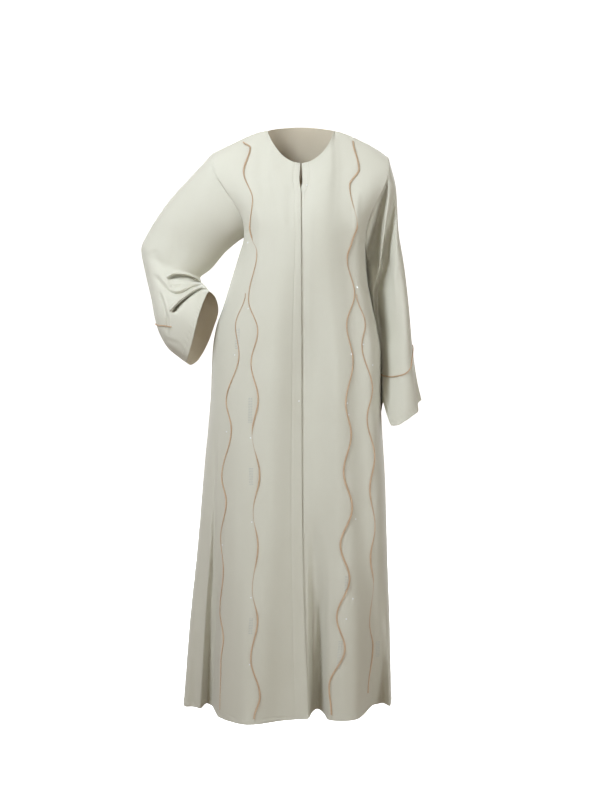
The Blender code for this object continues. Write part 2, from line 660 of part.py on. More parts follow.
# ---- the cords ------------------------------------------------------------------------
def on_facets(grid, ups, acrosses, up, across):
    """Points on the triangles of a wall's outer face, as add_wall cuts them."""
    i = np.clip(np.searchsorted(ups, up) - 1, 0, len(ups) - 2)
    j = np.clip(np.searchsorted(acrosses, across) - 1, 0, len(acrosses) - 2)
    v = ((up - ups[i]) / (ups[i + 1] - ups[i]))[:, None]
    u = ((across - acrosses[j]) / (acrosses[j + 1] - acrosses[j]))[:, None]
    a, b, c, d = grid[i, j], grid[i, j + 1], grid[i + 1, j + 1], grid[i + 1, j]
    return np.where(u > v, a + u * (b - a) + v * (c - b), a + v * (d - a) + u * (c - d))


def lifts(tracks, normals):
    """How far each CORD_FINE-th point of the middle track must rise to clear all the tracks."""
    points = tracks[1]
    needed = np.zeros(len(points))
    for start in range(0, len(points) - CORD_FINE, CORD_FINE):
        run = slice(start, start + CORD_FINE + 1)
        share = np.linspace(0.0, 1.0, CORD_FINE + 1)[:, None]
        chord = mix(points[start], points[start + CORD_FINE], share)
        highest = max(np.max(np.sum((track[run] - chord) * normals[run], axis=1)) for track in tracks)
        for end in (start, start + CORD_FINE):
            needed[end] = max(needed[end], highest)
    return needed[::CORD_FINE, None]


def wave(turns):
    """Points along a cord that swings smoothly from each turning point to the next."""
    turns = np.array(turns, dtype=float)
    points = []
    for start, end in zip(turns[:-1], turns[1:]):
        count = CORD_FINE * max(1, int(round(abs(end[1] - start[1]) / TRIM_STEP)))
        for share in np.arange(count) / count:
            swing = (1.0 - math.cos(math.pi * share)) / 2.0
            points.append((mix(start[0], end[0], swing), mix(start[1], end[1], share)))
    points.append(tuple(turns[-1]))
    return np.array(points)


def on_front(side, x, z):
    """Share and rise of the front's point that is seen at x and z from the front."""
    tip_z = ARMHOLES[side]["tip"][1]
    share = np.full_like(x, 0.5)
    over = z - UNDERARM_CENTRE_Z
    reach = np.where(over < 0.0, UNDERARM_CENTRE_Z - HEM_Z, tip_z - UNDERARM_CENTRE_Z)
    rise = over / reach
    for _ in range(SEEK_STEPS):
        here = front_surface(side, share, rise)
        by_share = (front_surface(side, share + SEEK_NUDGE, rise) - here) / SEEK_NUDGE
        by_rise = (front_surface(side, share, rise + SEEK_NUDGE) - here) / SEEK_NUDGE
        miss_x, miss_z = x - here[:, 0], z - here[:, 2]
        area = by_share[:, 0] * by_rise[:, 2] - by_share[:, 2] * by_rise[:, 0]
        area = np.copysign(np.maximum(np.abs(area), SEEK_NUDGE), area)
        share = share + SEEK_SHARE * (miss_x * by_rise[:, 2] - miss_z * by_rise[:, 0]) / area
        rise = rise + SEEK_SHARE * (by_share[:, 0] * miss_z - by_share[:, 2] * miss_x) / area
        share, rise = np.clip(share, 0.01, 0.99), np.clip(rise, -1.0, 0.999)
    return share, rise


def front_grid(side):
    """Places and points of a front's outer face."""
    shares, rise = crowded(FRONT_COLUMNS, "front_" + side), rise_steps()
    return shares, rise, front_surface(side, shares[None, :], rise[:, None])


def front_normals(side, share, rise):
    """Outward directions of a front's surface."""
    by_share = (front_surface(side, share + NORMAL_NUDGE, rise)
                - front_surface(side, share - NORMAL_NUDGE, rise))
    by_rise = (front_surface(side, share, rise + NORMAL_NUDGE)
               - front_surface(side, share, rise - NORMAL_NUDGE))
    normals = unit(np.cross(by_share, by_rise))
    return normals * -np.sign(normals[:, 1:2])


def front_frame(side, path):
    """Points of a front under a cord's two edges and its middle, and the normals there."""
    shares, rises, grid = front_grid(side)
    half = TRIM_WIDTH / 2.0
    places = [on_front(side, path[:, 0] + shift, path[:, 1]) for shift in (-half, 0.0, half)]
    tracks = [on_facets(grid, rises, shares, rise, share) for share, rise in places]
    return tracks, front_normals(side, *places[1])


def add_cord(name, tracks, normals, finish):
    """A cord of four sides laid on the cloth's points, moved out by its clearance."""
    rise = lifts(tracks, normals)
    points, normals = tracks[1][::CORD_FINE], normals[::CORD_FINE]
    points = points + rise * normals
    ways = unit(np.gradient(points, axis=0))
    across = unit(np.cross(ways, normals))
    rings = [points + across * side * TRIM_WIDTH
             + normals * (TRIM_CLEARANCE + height * TRIM_HEIGHT) for side, height in CORD_SECTION]
    rings = np.stack(rings, axis=1)
    count, sides = rings.shape[:2]
    faces = []
    for i in range(count - 1):
        for j in range(sides):
            k = (j + 1) % sides
            here, there = i * sides, (i + 1) * sides
            faces += two_triangles(here + j, here + k, there + k, there + j)
    faces += two_triangles(3, 2, 1, 0)
    end = (count - 1) * sides
    faces += two_triangles(end, end + 1, end + 2, end + 3)
    return add_object(name, rings.reshape(-1, 3), faces, finish)


def make_front_cords(finish):
    for name, cord in CORDS.items():
        side = cord["panel"].removeprefix("front_")
        tracks, normals = front_frame(side, wave(cord["turns"]))
        add_cord(name, tracks, normals, finish)


def make_cuff_cords(finish):
    for name, cord in CUFF_CORDS.items():
        places = np.array(cord["turns"])
        first, last = places[0, 0], places[-1, 0]
        count = CORD_FINE * int(round((last - first) / CUFF_STEP))
        turn = np.linspace(first, last, count + 1)
        along = smooth(places[:, 0], places[:, 1], turn)
        rows, turns, grid, inner = sleeve_grid(cord["sleeve"])
        ring = np.concatenate([turns - 360.0, turns, [360.0]])
        wrapped = np.concatenate([grid, grid, grid[:, :1]], axis=1)
        inside = np.concatenate([inner, inner, inner[:, :1]], axis=1)
        half = TRIM_WIDTH / 2.0 / SLEEVE_LENGTH
        tracks = [on_facets(wrapped, rows, ring, along + shift, turn) for shift in (-half, 0.0, half)]
        normals = unit(tracks[1] - on_facets(inside, rows, ring, along, turn))
        add_cord(name, tracks, normals, finish)


def main():
    for old in list(bpy.data.objects):
        bpy.data.objects.remove(old)
    cloth = material("cloth", CLOTH_COLOUR, 0.8)
    cord = material("cord", CORD_COLOUR, 0.35, 0.6)
    for side in ("right", "left"):
        make_front(side, cloth)
        make_sleeve(side, cloth)
    make_back(cloth)
    make_front_cords(cord)
    make_cuff_cords(cord)


main()
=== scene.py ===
import math

import bpy
import numpy as np
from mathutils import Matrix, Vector


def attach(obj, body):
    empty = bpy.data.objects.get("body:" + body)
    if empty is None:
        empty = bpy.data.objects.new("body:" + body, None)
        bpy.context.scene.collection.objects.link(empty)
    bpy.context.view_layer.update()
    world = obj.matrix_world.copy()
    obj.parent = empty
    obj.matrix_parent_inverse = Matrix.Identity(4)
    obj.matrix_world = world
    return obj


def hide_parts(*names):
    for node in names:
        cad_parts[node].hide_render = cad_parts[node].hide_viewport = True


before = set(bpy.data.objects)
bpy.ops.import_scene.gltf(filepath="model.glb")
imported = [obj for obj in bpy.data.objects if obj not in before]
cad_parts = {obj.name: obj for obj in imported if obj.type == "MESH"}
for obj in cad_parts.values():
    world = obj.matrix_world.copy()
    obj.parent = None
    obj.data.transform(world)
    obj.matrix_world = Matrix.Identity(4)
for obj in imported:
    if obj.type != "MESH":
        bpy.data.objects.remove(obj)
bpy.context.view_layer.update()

# The abaya's looks: thin shells of crepe on the form of its CAD panels, with the creases of
# the photograph, stitched hems, twisted cords, bead rows and crystals. Metres, +Z up, the
# front faces -Y and the wearer's right arm is at -X.


def table(columns, rows, mm=""):
    """Rows as dictionaries; the columns named in mm are typed in millimetres."""
    made = [dict(zip(columns.split(), row)) for row in rows]
    for row in made:
        row.update({name: np.array(row[name]) / 1000.0 for name in mm.split()})
    return made


# ---- the photograph's camera and the studio -------------------------------------------
CAMERA_PLACE = (-0.0023, -3.8, -0.22)
CAMERA_DOWN = 5.97          # degrees below the horizon
CAMERA_LENS = 74.07         # millimetres
CAMERA_SENSOR = 36.0        # millimetres, along the picture's long side
FLOOR_Z = -1.53
BACKDROP_REACH = dict(width=7.0, front=-7.0, back=5.6, curve=1.2, top=6.0)
BACKDROP_ARC = 16           # steps of its curve
SURROUND_RADIUS = 6.6       # a round wall, pale behind the object from its other sides too
SURROUND_SIDES = 64
BACKDROP_WHITE = (0.93, 0.93, 0.925)
BACKDROP_TOOTH = 0.985      # share of that white where the paper's tooth noise is highest
BACKDROP_GLOW = 1.0
WORLD_COLOUR = (1.0, 0.73, 0.48)
WORLD_STRENGTH = 0.20
LIGHTS = table("name x y z aim_z size power red green blue", rows=(
    ("key", -1.3, -1.62, 1.04, -0.34, 0.9, 55.5, 0.9, 0.988, 1.09),
    ("fill", 2.2, -1.9, -0.05, -0.55, 1.6, 28, 0.92, 1, 1.06),
    ("front", 0.5, -4.2, 0.2, -0.4, 1.8, 23, 0.92, 1, 1.06),
    ("top", 0.2, 0.8, 1.9, -0.4, 1.4, 12, 1, 1, 1),
    ("back_key", 1.5, 3.2, 0.9, -0.45, 1.6, 100, 0.9, 0.987, 1.11),
    ("back_fill", -1.9, 2.6, -0.1, -0.6, 1.6, 36, 0.92, 0.997, 1.07),
))

# ---- the cloth's finish ---------------------------------------------------------------
SHELL = 0.0009              # thickness of the crepe
HEM_WIDTH = 0.0095          # turned-up hems, with their row of stitches
HEM_RISE = 0.0005           # how far the doubled cloth stands out
HEM_STEP = 0.0016           # width of the step at its top
HEM_GROOVE = 0.0009         # half-width of the groove under its stitches
FACING_WIDTH = 0.0115       # stitch line beside the front edges
FACING_DIP = (0.0007, 0.0013)   # depth and half-width of the groove under it
SEAM_DIP = 0.0007           # how far the cloth sinks into a seam
SEAM_REACH = 0.0032         # half-width of that groove
SEAM_CLEAR = 0.006          # creases fade out over this distance from a seam
PUCKER = 0.00035            # small waves of the cloth along a seam or hem
PUCKER_LENGTH = 0.011
PUCKER_WAY = np.array([1.0, 0.6, 0.8])  # the slant along which they follow one another
PUCKER_UNEVEN = (3.0, 31.0)     # how far and how often their spacing drifts
UNDULATION = 0.0011         # height of the slow waves of hanging cloth
UNDULATION_ACROSS = (30.0, 90.0)    # radians to a metre round the body
UNDULATION_UPRIGHT = (5.0, 16.0)    # and down it
UNDULATION_USUAL = 45.0     # the wave that has that height
UNDULATION_COUNT = 9
UNDULATION_SEED = 7
CREASE_FINE = 6             # points of a crease's curve for each point given
CREASE_REACH = 3.2          # half-widths beyond which a crease is no longer felt
CREASE_FACING = 0.3         # creases fade where the cloth turns to within this of edge-on
LIP_OFFSET = 1.7            # half-widths from a crease's line to the roll beside it
ELBOW_SHARE = 0.35          # how much of the CAD's own elbow folds is kept under the creases
EASE_REACH = 0.055          # up and down from the underarms' level, a panel's bend is eased
EASE_STEPS = np.linspace(-0.8, 0.8, 9)  # places, as shares of the reach, whose mean is taken
EASE_SIDE = 0.12            # and how near the side seam the easing ends
EASE_LEAST = 0.01           # amount below which a point is left as it is
NECK_EASE = 0.11            # across a panel, the bend below the neck's corner is eased
NECK_EASE_TOP = 0.14        # and how near the shoulder that easing ends

# ---- trimmings ------------------------------------------------------------------------
STRAND_RADIUS = 0.00095     # two strands twisted into one cord
STRAND_SPREAD = 0.00085     # from the cord's axis to each strand's
STRAND_FLATNESS = 0.72      # the twist is pressed flat against the cloth
STRAND_PITCH = 0.0078
STRAND_STEP = 0.0008
STRAND_SIDES = 6
CORD_LIFT = 0.0010          # the cord's axis above the cloth
PATH_STEP = 0.003           # spacing of a front cord's points before they are refined
CUFF_POINTS = 160           # and the number of a cuff cord's
TUBE_END = 0.35             # how wide a tube's closed ends are
BEAD_SIDES = 6
BEAD_ROW_PITCH = 0.0036     # from one row of bugle beads to the next
BUGLE_LENGTH = 0.0042       # two beads in each row
BUGLE_RADIUS = 0.00042
BUGLE_GAP = 0.0004          # from the row's middle to each bead
BUGLE_STATIONS = np.array([0.0, 0.04, 0.5, 0.96, 1.0])
CRYSTAL_SIDES = 8
CRYSTAL_RINGS = ((0.0013, 0.0), (0.0016, 0.0005), (0.0009, 0.0013))
STITCH_LENGTH, STITCH_PITCH, STITCH_RADIUS = 0.0022, 0.0032, 0.00022
STITCH_STEP = 0.0008        # spacing of the points along a stitch
STITCH_SIDES = 4
STITCH_LIFT = 0.3           # radii from the cloth to a stitch's axis
STITCH_PLACES = 240         # points of a stitch line before it is refined
NECK_HEM = 0.006            # width of the neckline's hem
ARMHOLE_SPAN = 0.18         # up a body panel, from the underarm to the shoulder seam

# ---- colours: (red, green, blue) of reflected light -----------------------------------
CLOTH = dict(pale=(0.655, 0.642, 0.550), deep=(0.595, 0.577, 0.480))
# the inside face's crepe, warmer and paler than the outer face's: painted warm bounce light in the
# shade inside the garment
INSIDE_PAINTED_WARM_LIGHT = dict(pale=(0.76, 0.68, 0.53), deep=(0.66, 0.58, 0.44))
COPPER = dict(pale=(0.67, 0.50, 0.34), deep=(0.40, 0.27, 0.165))
CRYSTAL = dict(pale=(0.97, 0.98, 1.0), deep=(0.85, 0.90, 0.95))
SEED_BEAD = dict(pale=(0.62, 0.64, 0.62), deep=(0.45, 0.48, 0.47))

# ---- each piece as it was cut: flat width and length, and the cut's area --------------
SHEETS = (
    ("front_right", (0.50, 1.37), 0.389),
    ("front_left", (0.46, 1.37), 0.373),
    ("back", (0.84, 1.37), 0.741),
    ("sleeve_right", (0.52, 0.58), 0.167),
    ("sleeve_left", (0.53, 0.56), 0.163),
)
ELBOWS = dict(right=(0.56, 0.88), left=(0.20, 0.80))    # where a sleeve's rows are closer
GRIDS = dict(               # columns and rows of each shell
    front=(84, 250),
    back=(124, 250),
    sleeve=(156, 250),
)
CROWD_FINE = 2001           # fine steps from which their places are taken
# where those places are closer together: [centre,] half-width and strength
FOLD_CROWD = 1.5            # strength beside a fold, times its steepness
SIDE_CROWD = (0.03, 2.5)
FACING_CROWD = (0.02, 5.0)
HEM_CROWD = (0.006, 16.0)
TOP_CROWD = (1.0, 0.05, 2.0)
ELBOW_CROWD = 2.4           # strength
CUFF_CROWD = (0.010, 8.0)
ARMHOLE_CROWD = (0.0, 0.01, 4.0)
INNER_CROWD = (110.0, 60.0, 1.4)    # round a sleeve, in degrees

# ---- sizes of the garment, as in the CAD ----------------------------------------------
SEAM_GAP = 0.0003           # clearance between two pieces sewn together
HEM_Z = -1.335              # the hem at the centre, below the side-neck point
SIDE_HEM_Z = dict(right=-1.335, left=-1.326)    # the hem at each side seam
UNDERARM_CENTRE_Z = -0.255  # centre line at the level of the underarms
NECK_HALF_WIDTH = 0.075
NECK = dict(front=(-0.068, -0.075), back=(0.062, 0.012))    # y and z of it at the centre
NECK_SHARE = 0.37           # share of a panel's width that the neckline takes
NECK_DROP_POWER = 1.5       # how late the neckline falls towards the centre
SHOULDER_POWER = 1.45       # how the shoulder seam steepens towards its tip
ARMHOLE_HALF_DEPTH = 0.062  # half the armhole's size from front to back
ARMHOLE_CURL = 0.009        # S-curve of the armhole seen from the front
SECTION_FULLNESS = 2.25     # 2 is an ellipse, more is fuller at its corners
LAP_DROP = 0.0032           # how far the left front lies behind the right front's edge
LAP_BLEND = (0.003, 0.022)  # where the left front comes forward again, past that edge
SLEEVE_LENGTH = 0.60        # along the middle of a sleeve
SLEEVE_BLEND = 0.3          # share of it over which the armhole's form fades out
MOUTH_START = 0.76          # where the form of the mouth begins
FOLD_GROWTH = 1.4           # how late a fold of the body deepens towards the hem
FOLD_ENDS = 3.0             # a sleeve's fold fades out over a third of its length at each end
BODY_LENGTH = UNDERARM_CENTRE_Z - HEM_Z     # of a body panel from its hem to the underarm
PANEL_WIDTH = 0.26          # round a body panel, from its centre to its side seam
SEEK_STEPS = 40             # passes that find a point of the front seen from the front
SEEK_SHARE = 0.7            # share of the way covered by each pass
SEEK_NUDGE = 1e-4           # step for the slopes there
SEEK_LIMITS = ((0.01, 0.99), (-1.0, 0.999))     # of share and rise

# ---- tables: one row for each section, profile height or fold -------------------------
# half-widths of the body, from the centre line to each side seam
SIDES = table("z right left", mm="z right left", rows=(
    (-1335, 277, 214), (-1160, 261, 210), (-1000, 246, 203), (-800, 228, 196), (-600, 209.5, 184),
    (-500, 203.5, 183), (-450, 195, 175.5), (-400, 178, 165), (-320, 153, 151), (-235, 125, 146),
))
# depths of the body, from the side seams' plane to the centre front and the centre back
DEPTHS = table("z front back", mm="z front back", rows=(
    (-1335, 166, 185), (-1000, 150, 157), (-800, 142, 143), (-600, 135, 131), (-450, 130, 118),
    (-350, 130, 110), (-270, 129, 112), (-200, 118, 112), (-140, 98, 106), (-75, 68, 94),
    (12, 50, 62),
))
# x of the two front edges: the right front laps over the left one below the open neck
OPENING = table("z right left", mm="z right left", rows=(
    (-1335, 16, -20), (-850, 2, -18), (-200, 0, -16), (-150, 0, -9), (-128, -1.5, 1),
    (-116, -3.5, 3.5), (-75, -2, 2),
))
# armholes seen from the front: the shoulder tip's x and z, and the height of the underarm,
# which lies on the side seam
ARMHOLES = dict(
    right=dict(tip=(-0.204, -0.052), underarm_z=-0.238),
    left=dict(tip=(0.201, -0.060), underarm_z=-0.262),
)
# folds that run down to the hem: where on the panel when full (0 centre, 1 side seam), how
# much further out it begins, half-width, depth when full (a valley is positive), heights
# where it begins and is full, edge softness
BODY_FOLDS = table("panel at lean wide deep top full soft", mm="deep top full", rows=(
    ("front_right", 0.54, 0.045, 0.09, 58, -800, -1335, 0.75),
    ("front_right", 0.64, 0, 0.26, 42, -600, -1335, 0.9),
    ("front_right", 0.27, 0, 0.2, -30, -750, -1335, 1),
    ("front_right", -0.045, 0, 0.23, 28, -200, -550, 1),
    ("front_left", 0.045, 0, 0.23, 28, -200, -550, 1),
    ("front_left", 0.098, 0, 0.066, 54, -900, -1335, 0.5),
    ("front_left", 0.34, 0, 0.18, -8, -400, -900, 1),
    ("front_left", 0.7, 0, 0.3, -26, -40, -500, 1),
    ("front_left", 0.62, 0, 0.25, 90, -920, -1335, 0.85),
    ("back", -0.66, 0, 0.17, 60, -620, -1335, 0.8),
    ("back", -0.4, 0, 0.13, -18, -600, -1335, 1),
    ("back", -0.16, 0, 0.13, 42, -500, -1335, 0.9),
    ("back", 0.06, 0, 0.12, -15, -500, -1335, 1),
    ("back", 0.3, 0, 0.14, 48, -660, -1335, 0.9),
    ("back", 0.7, 0, 0.16, 52, -720, -1335, 0.8),
))
# sleeve sections: the outer and inner edge seen from the front, the middle's y, how far
# the inner edge lies behind the outer one, the half depth, and how far the section's
# front point is moved along x and z
SLEEVE_SIZES = "outer_x outer_z inner_x inner_z y swing deep lean_x lean_z"
SLEEVES = dict(
    right=table("along " + SLEEVE_SIZES, mm=SLEEVE_SIZES, rows=(
        (0, -204, -52, -126, -238, 0, 0, 62, 0, 0),
        (0.14, -260, -113, -142, -247, 6, 0, 64, 0, 0),
        (0.3, -318, -179, -173, -274, 16, 0, 62, 0, 0),
        (0.42, -353, -229, -207, -314, 24, 0, 58, 0, 0),
        (0.52, -370, -271, -233, -335, 24, 0, 56, 0, 0),
        (0.62, -360, -320, -230, -344, 12, 0, 58, 0, 0),
        (0.74, -344, -382, -219.5, -354, -8, 0, 58, -4, 0),
        (0.86, -330, -442, -215, -360, -26, 0, 52, -10, 0),
        (0.94, -303, -493, -212, -364, -34, 0, 48, -14, 0),
        (1, -256, -530, -210, -366, -40, 0, 45, -18, 0),
    )),
    left=table("along " + SLEEVE_SIZES, mm=SLEEVE_SIZES, rows=(
        (0, 201, -60, 147, -262, 0, 0, 62, 0, 0),
        (0.14, 219, -134, 150.5, -297, 11, 34, 64, 2, 0),
        (0.3, 223, -222, 153.5, -345, 7, 50, 62, 4, -4),
        (0.45, 234.5, -305, 163, -395, 3, 58, 60, 6, -8),
        (0.6, 246, -398, 175.2, -455, -3, 62, 60, 6, -12),
        (0.75, 255, -482, 184.5, -515, -12, 52, 62, 2, -18),
        (0.9, 266, -566, 186.6, -575, -15.5, 55, 64, -4, -30),
        (1, 275.6, -613, 186.6, -612, -20, 52, 64, -6, -50),
    )),
)
# the sleeves' mouths: x, y and z at each angle round them
MOUTHS = dict(
    right=table("turn x y z", mm="x y z", rows=(
        (0, -260.1, -49, -526.3), (30, -256, -68, -508.6), (60, -245.7, -83, -474.5),
        (90, -236.9, -90, -439), (120, -228.1, -86, -407.6), (150, -218.7, -66, -381.5),
        (180, -210, -38, -366), (210, -196.5, -14, -382.6), (240, -191.1, 0, -410.8),
        (270, -202.7, 2, -450.9), (300, -213, 0, -479.7), (328, -227.6, -14, -509.3),
        (342, -241.6, -28, -527.3), (351, -252.5, -40, -532.1), (360, -260.1, -49, -526.3),
    )),
    left=table("turn x y z", mm="x y z", rows=(
        (0, 275.6, -46, -612.6), (15, 266, -60, -620.3), (30, 266.1, -73, -632.7),
        (60, 251.8, -90, -644.9), (90, 234.4, -97, -656.7), (115, 219.9, -95, -665.3),
        (135, 205.7, -85, -667.2), (152, 195.2, -65, -643.9), (166, 189, -42, -618.8),
        (177, 188.4, -22, -626.7), (187, 187, -4, -642.6), (197, 184.6, 12, -639.7),
        (210, 185.2, 26, -627.2), (225, 194.4, 34, -620.9), (240, 206.3, 36, -622.3),
        (270, 229.6, 34, -628), (300, 252.5, 26, -627.2), (330, 268.3, 2, -619.9),
        (345, 274.6, -22, -615.1), (360, 275.6, -46, -612.6),
    )),
)
# folds on the sleeves: the line that the fold follows, from one place to another along the
# sleeve and round it (0 outer edge, 90 front, 180 inner edge), half-width (degrees on the
# left sleeve, a share of the length on the right one), depth
SLEEVE_FOLDS = table("sleeve from_along from_turn to_along to_turn wide deep", rows=(
    ("right", 0.61, 66, 0.62, 176, 0.026, 0.01),
    ("right", 0.69, 60, 0.69, 176, 0.026, 0.008),
    ("right", 0.86, 74, 0.74, 172, 0.034, 0.011),
    ("right", 0.6, 200, 0.62, 300, 0.03, 0.009),
    ("left", 0.08, 66, 0.62, 104, 17, 0.014),
    ("left", 0.05, 100, 0.48, 150, 19, 0.016),
    ("left", 0.42, 138, 0.95, 148, 22, 0.01),
))
# cords on the fronts: the turning points of each wave, x and z seen from the front
CORDS = table("name piece turns", mm="turns", rows=(
    ("trim_right_inner", "front_right", (
        (-131, -26), (-115, -40), (-129, -95), (-108, -158), (-113, -226), (-98.5, -272),
        (-118, -380), (-96.5, -450), (-112, -522), (-95.5, -602), (-109.5, -682), (-93, -772),
        (-108, -858), (-97, -933), (-110, -1032), (-98, -1100), (-113, -1186), (-93, -1272),
        (-106, -1322))),
    ("trim_right_outer", "front_right", (
        (-125, -366), (-148, -441), (-140, -504), (-169, -612), (-157, -673), (-180, -784),
        (-169, -839), (-183, -926), (-176, -994), (-185, -1095), (-177, -1152), (-183, -1208),
        (-185, -1318))),
    ("trim_left_inner", "front_left", (
        (118, -24), (130, -88), (109, -126), (124, -220), (103, -289), (120, -368), (102, -436),
        (116.5, -518), (100, -613), (112.5, -683), (96, -766), (115.5, -848), (89, -932),
        (109, -1008), (81.5, -1096), (99, -1167), (65, -1258), (70, -1322))),
    ("trim_left_outer", "front_left", (
        (124.5, -368), (144.5, -437), (137, -482), (161, -582), (149, -648), (166.5, -736),
        (156, -808), (168, -895), (158, -968), (165.5, -1030), (157, -1122), (165, -1180),
        (154, -1290))),
))
# cuff cords: the angle round the sleeve and the place along it
CUFF_CORDS = table("name piece turns", rows=(
    ("cuff_trim_right", "sleeve_right", (
        (-150, 0.87), (-70, 0.895), (2, 0.858), (37, 0.883), (55, 0.916))),
    ("cuff_trim_left", "sleeve_left", (
        (-172, 0.84), (-90, 0.815), (0, 0.765), (32, 0.785), (44, 0.812), (66, 0.821),
        (106, 0.818), (132, 0.818), (168, 0.846))),
))

# ---- looks: one row for each crease, stitch line, bead row or crystal -----------------
# creases seen from the front: the line runs through x and z, its half-width and depth go
# from the first value to the second along it, lip is the roll of cloth beside it (positive
# on the left of the line's direction) as a share of the depth
CREASES = table(
    "piece face wide wide_end deep deep_end lip ends round line",
    mm="wide wide_end deep deep_end line", rows=(
    # right sleeve, the open pockets at the bent elbow
    ("sleeve_right", "front", 3.6, 2.2, 26, 13, 0.3, 12, 1.8, (
        (-304, -338), (-297, -333), (-286, -329), (-266, -331), (-248, -337), (-232, -346),
        (-218, -357), (-210, -366))),
    ("sleeve_right", "front", 6, 6, 4, 2, 0, 6, 2, (
        (-304, -343), (-285, -340), (-262, -344), (-240, -352))),
    ("sleeve_right", "front", 6, 2.2, 3.5, 12, 0.25, 5, 1.6, (
        (-341, -320), (-316, -348), (-300, -363), (-283, -369), (-269, -366), (-250, -356),
        (-233, -353), (-218, -359))),
    ("sleeve_right", "front", 3.6, 2.2, 26, 12, 0.3, 12, 1.8, (
        (-292.5, -412.5), (-283, -399), (-270, -386), (-256, -375), (-242, -366), (-227, -360),
        (-212, -363))),
    ("sleeve_right", "front", 7.5, 6, 5, 3, 0, 6, 2, ((-288, -411), (-272, -394), (-254, -381))),
    ("sleeve_right", "front", 5, 5, 3, 2, 0, 4, 2, ((-298, -350), (-282, -352), (-268, -350))),
    ("sleeve_right", "front", 2.8, 2.8, 6, 4.5, 0.4, 5, 1.6, (
        (-323, -362), (-315, -384), (-308, -406), (-304, -424), (-304, -441), (-305, -463))),
    ("sleeve_right", "front", 4.5, 4.5, 1.8, 1, 0.4, 5, 2, (
        (-311, -472), (-296, -476), (-276, -483))),
    ("sleeve_right", "front", 12, 10, 3, 3, 0, 5, 2, ((-342, -267), (-325, -297), (-302, -320))),
    ("sleeve_right", "front", 15, 13, 2.2, 2.4, 0.3, 5, 2, (
        (-254, -135), (-272, -191), (-279, -247), (-282, -311))),
    # the same bend on the sleeve's hidden side
    ("sleeve_right", "back", 8, 6, 6, 11, 0.4, 5, 2, (
        (-322, -322), (-292, -326), (-262, -336), (-240, -350))),
    ("sleeve_right", "back", 8, 6, 5, 9, 0.35, 5, 2, (
        (-312, -398), (-284, -384), (-258, -368), (-238, -358))),
    ("sleeve_right", "back", 14, 10, 3, 5, 0.3, 5, 2, (
        (-205, -120), (-225, -190), (-240, -262), (-248, -318))),
    ("sleeve_right", "back", 12, 10, 3, 3, 0.3, 5, 2, ((-330, -300), (-300, -238), (-262, -170))),
    # left sleeve
    ("sleeve_left", "front", 12, 12, 2.5, 2.5, 0, 5, 2, ((222, -292), (219, -406), (210, -519))),
    ("sleeve_left", "back", 12, 14, 6, 12, 0.3, 5, 2, (
        (200, -120), (196, -220), (190, -330), (196, -430))),
    ("sleeve_left", "back", 14, 16, 4, 8, 0.3, 5, 2, (
        (176, -180), (176, -300), (184, -420), (196, -520))),
    # fronts: soft hollows of the chest and the drags below the underarms
    ("front_left", "front", 7, 7, -2.5, -2, 0, 5, 2, ((128, -135), (124, -195), (121, -236))),
    ("front_left", "front", 5, 5, 5, 3, 0.3, 5, 2, ((139, -215), (144, -246), (150, -274))),
    ("front_left", "front", 5, 5, 5, 3, 0.3, 5, 2, ((132, -248), (140, -272), (148, -301))),
    ("front_right", "front", 10, 12, -3, -2, 0, 5, 2, ((-93, -169), (-94, -269), (-96, -358))),
    ("front_right", "front", 8, 10, 2, 2, 0, 5, 2, ((-24, -121), (-24, -158), (-25, -225))),
    ("front_right", "front", 4, 4, 6, 4, 0.4, 5, 2, ((-124, -215), (-131, -229), (-138, -244))),
    ("front_right", "front", 4, 4, 5, 4, 0.4, 5, 2, ((-118, -221), (-124, -234), (-129, -248))),
    # the deep fold beside the opening at the hem
    ("front_left", "front", 3.5, 11.5, 7, 34, 0, 5, 3, (
        (43.5, -1030), (44.5, -1120), (44, -1190), (42, -1250), (39.5, -1320), (38, -1460))),
    ("front_left", "front", 12, 14, 6, 8, 0, 4, 2, (
        (30, -860), (30, -960), (33, -1060), (38, -1160))),
    # the long narrow fold at the right side, above its hollow at the hem
    ("front_right", "front", 3, 4.5, 4.2, 6.2, 0.3, 5, 1.6, (
        (-195, -660), (-199, -829), (-200.5, -921), (-203.5, -1013), (-206, -1100))),
    # the left front stands out to its armhole, like the cloth of the hanging arm's side
    ("front_left", "front", 30, 28, -8, -8, 0, 4, 2, (
        (150, -80), (158, -140), (157, -200), (154, -260), (158, -340))),
    # back: the same drags, and soft hollows between the shoulder blades and the waist
    ("back", "back", 8, 8, 5, 3, 0.3, 5, 2, ((-130, -205), (-124, -246), (-128, -300))),
    ("back", "back", 8, 8, 5, 3, 0.3, 5, 2, ((136, -215), (132, -256), (138, -310))),
    ("back", "back", 20, 24, 4, 6, 0.2, 5, 2, ((-60, -180), (-64, -320), (-70, -500))),
    ("back", "back", 20, 24, 4, 6, 0.2, 5, 2, ((64, -200), (60, -350), (68, -540))),
))
# deep folds pressed into a sleeve: as above, but deep is a share of the sleeve's own depth
PRESSED_FOLDS = table(
    "piece wide wide_end deep deep_end lip ends round line",
    mm="wide wide_end line", rows=(
    ("sleeve_left", 4, 16, 0.08, 0.52, 0, 4, 2, (
        (197, -100), (188, -142), (179.5, -178), (174.5, -210), (168, -244), (161.5, -278),
        (157.5, -312), (156, -340))),
    ("sleeve_left", 6, 17, 0.16, 0.62, 0, 5, 2, (
        (209, -125), (211, -160), (209, -195), (204, -235), (198, -278), (194.5, -312),
        (188, -346), (183, -380), (183, -420), (186, -460), (188, -510))),
))
# rows of bugle beads in the waves' hollows: the panel, z of the top and the bottom row, and
# x of their middles
BEAD_ROWS = table("panel top low x_top x_low", mm="top low x_top x_low", rows=(
    ("front_right", -445, -490, -143, -144),
    ("front_right", -600, -655, -113, -114),
    ("front_right", -756, -795, -112, -112),
    ("front_right", -1095, -1130, -112, -114),
    ("front_left", -1001, -1035, 104, 102),
    ("front_left", -1150, -1213, 90, 85),
    ("front_left", -1172, -1208, 177, 177),
))
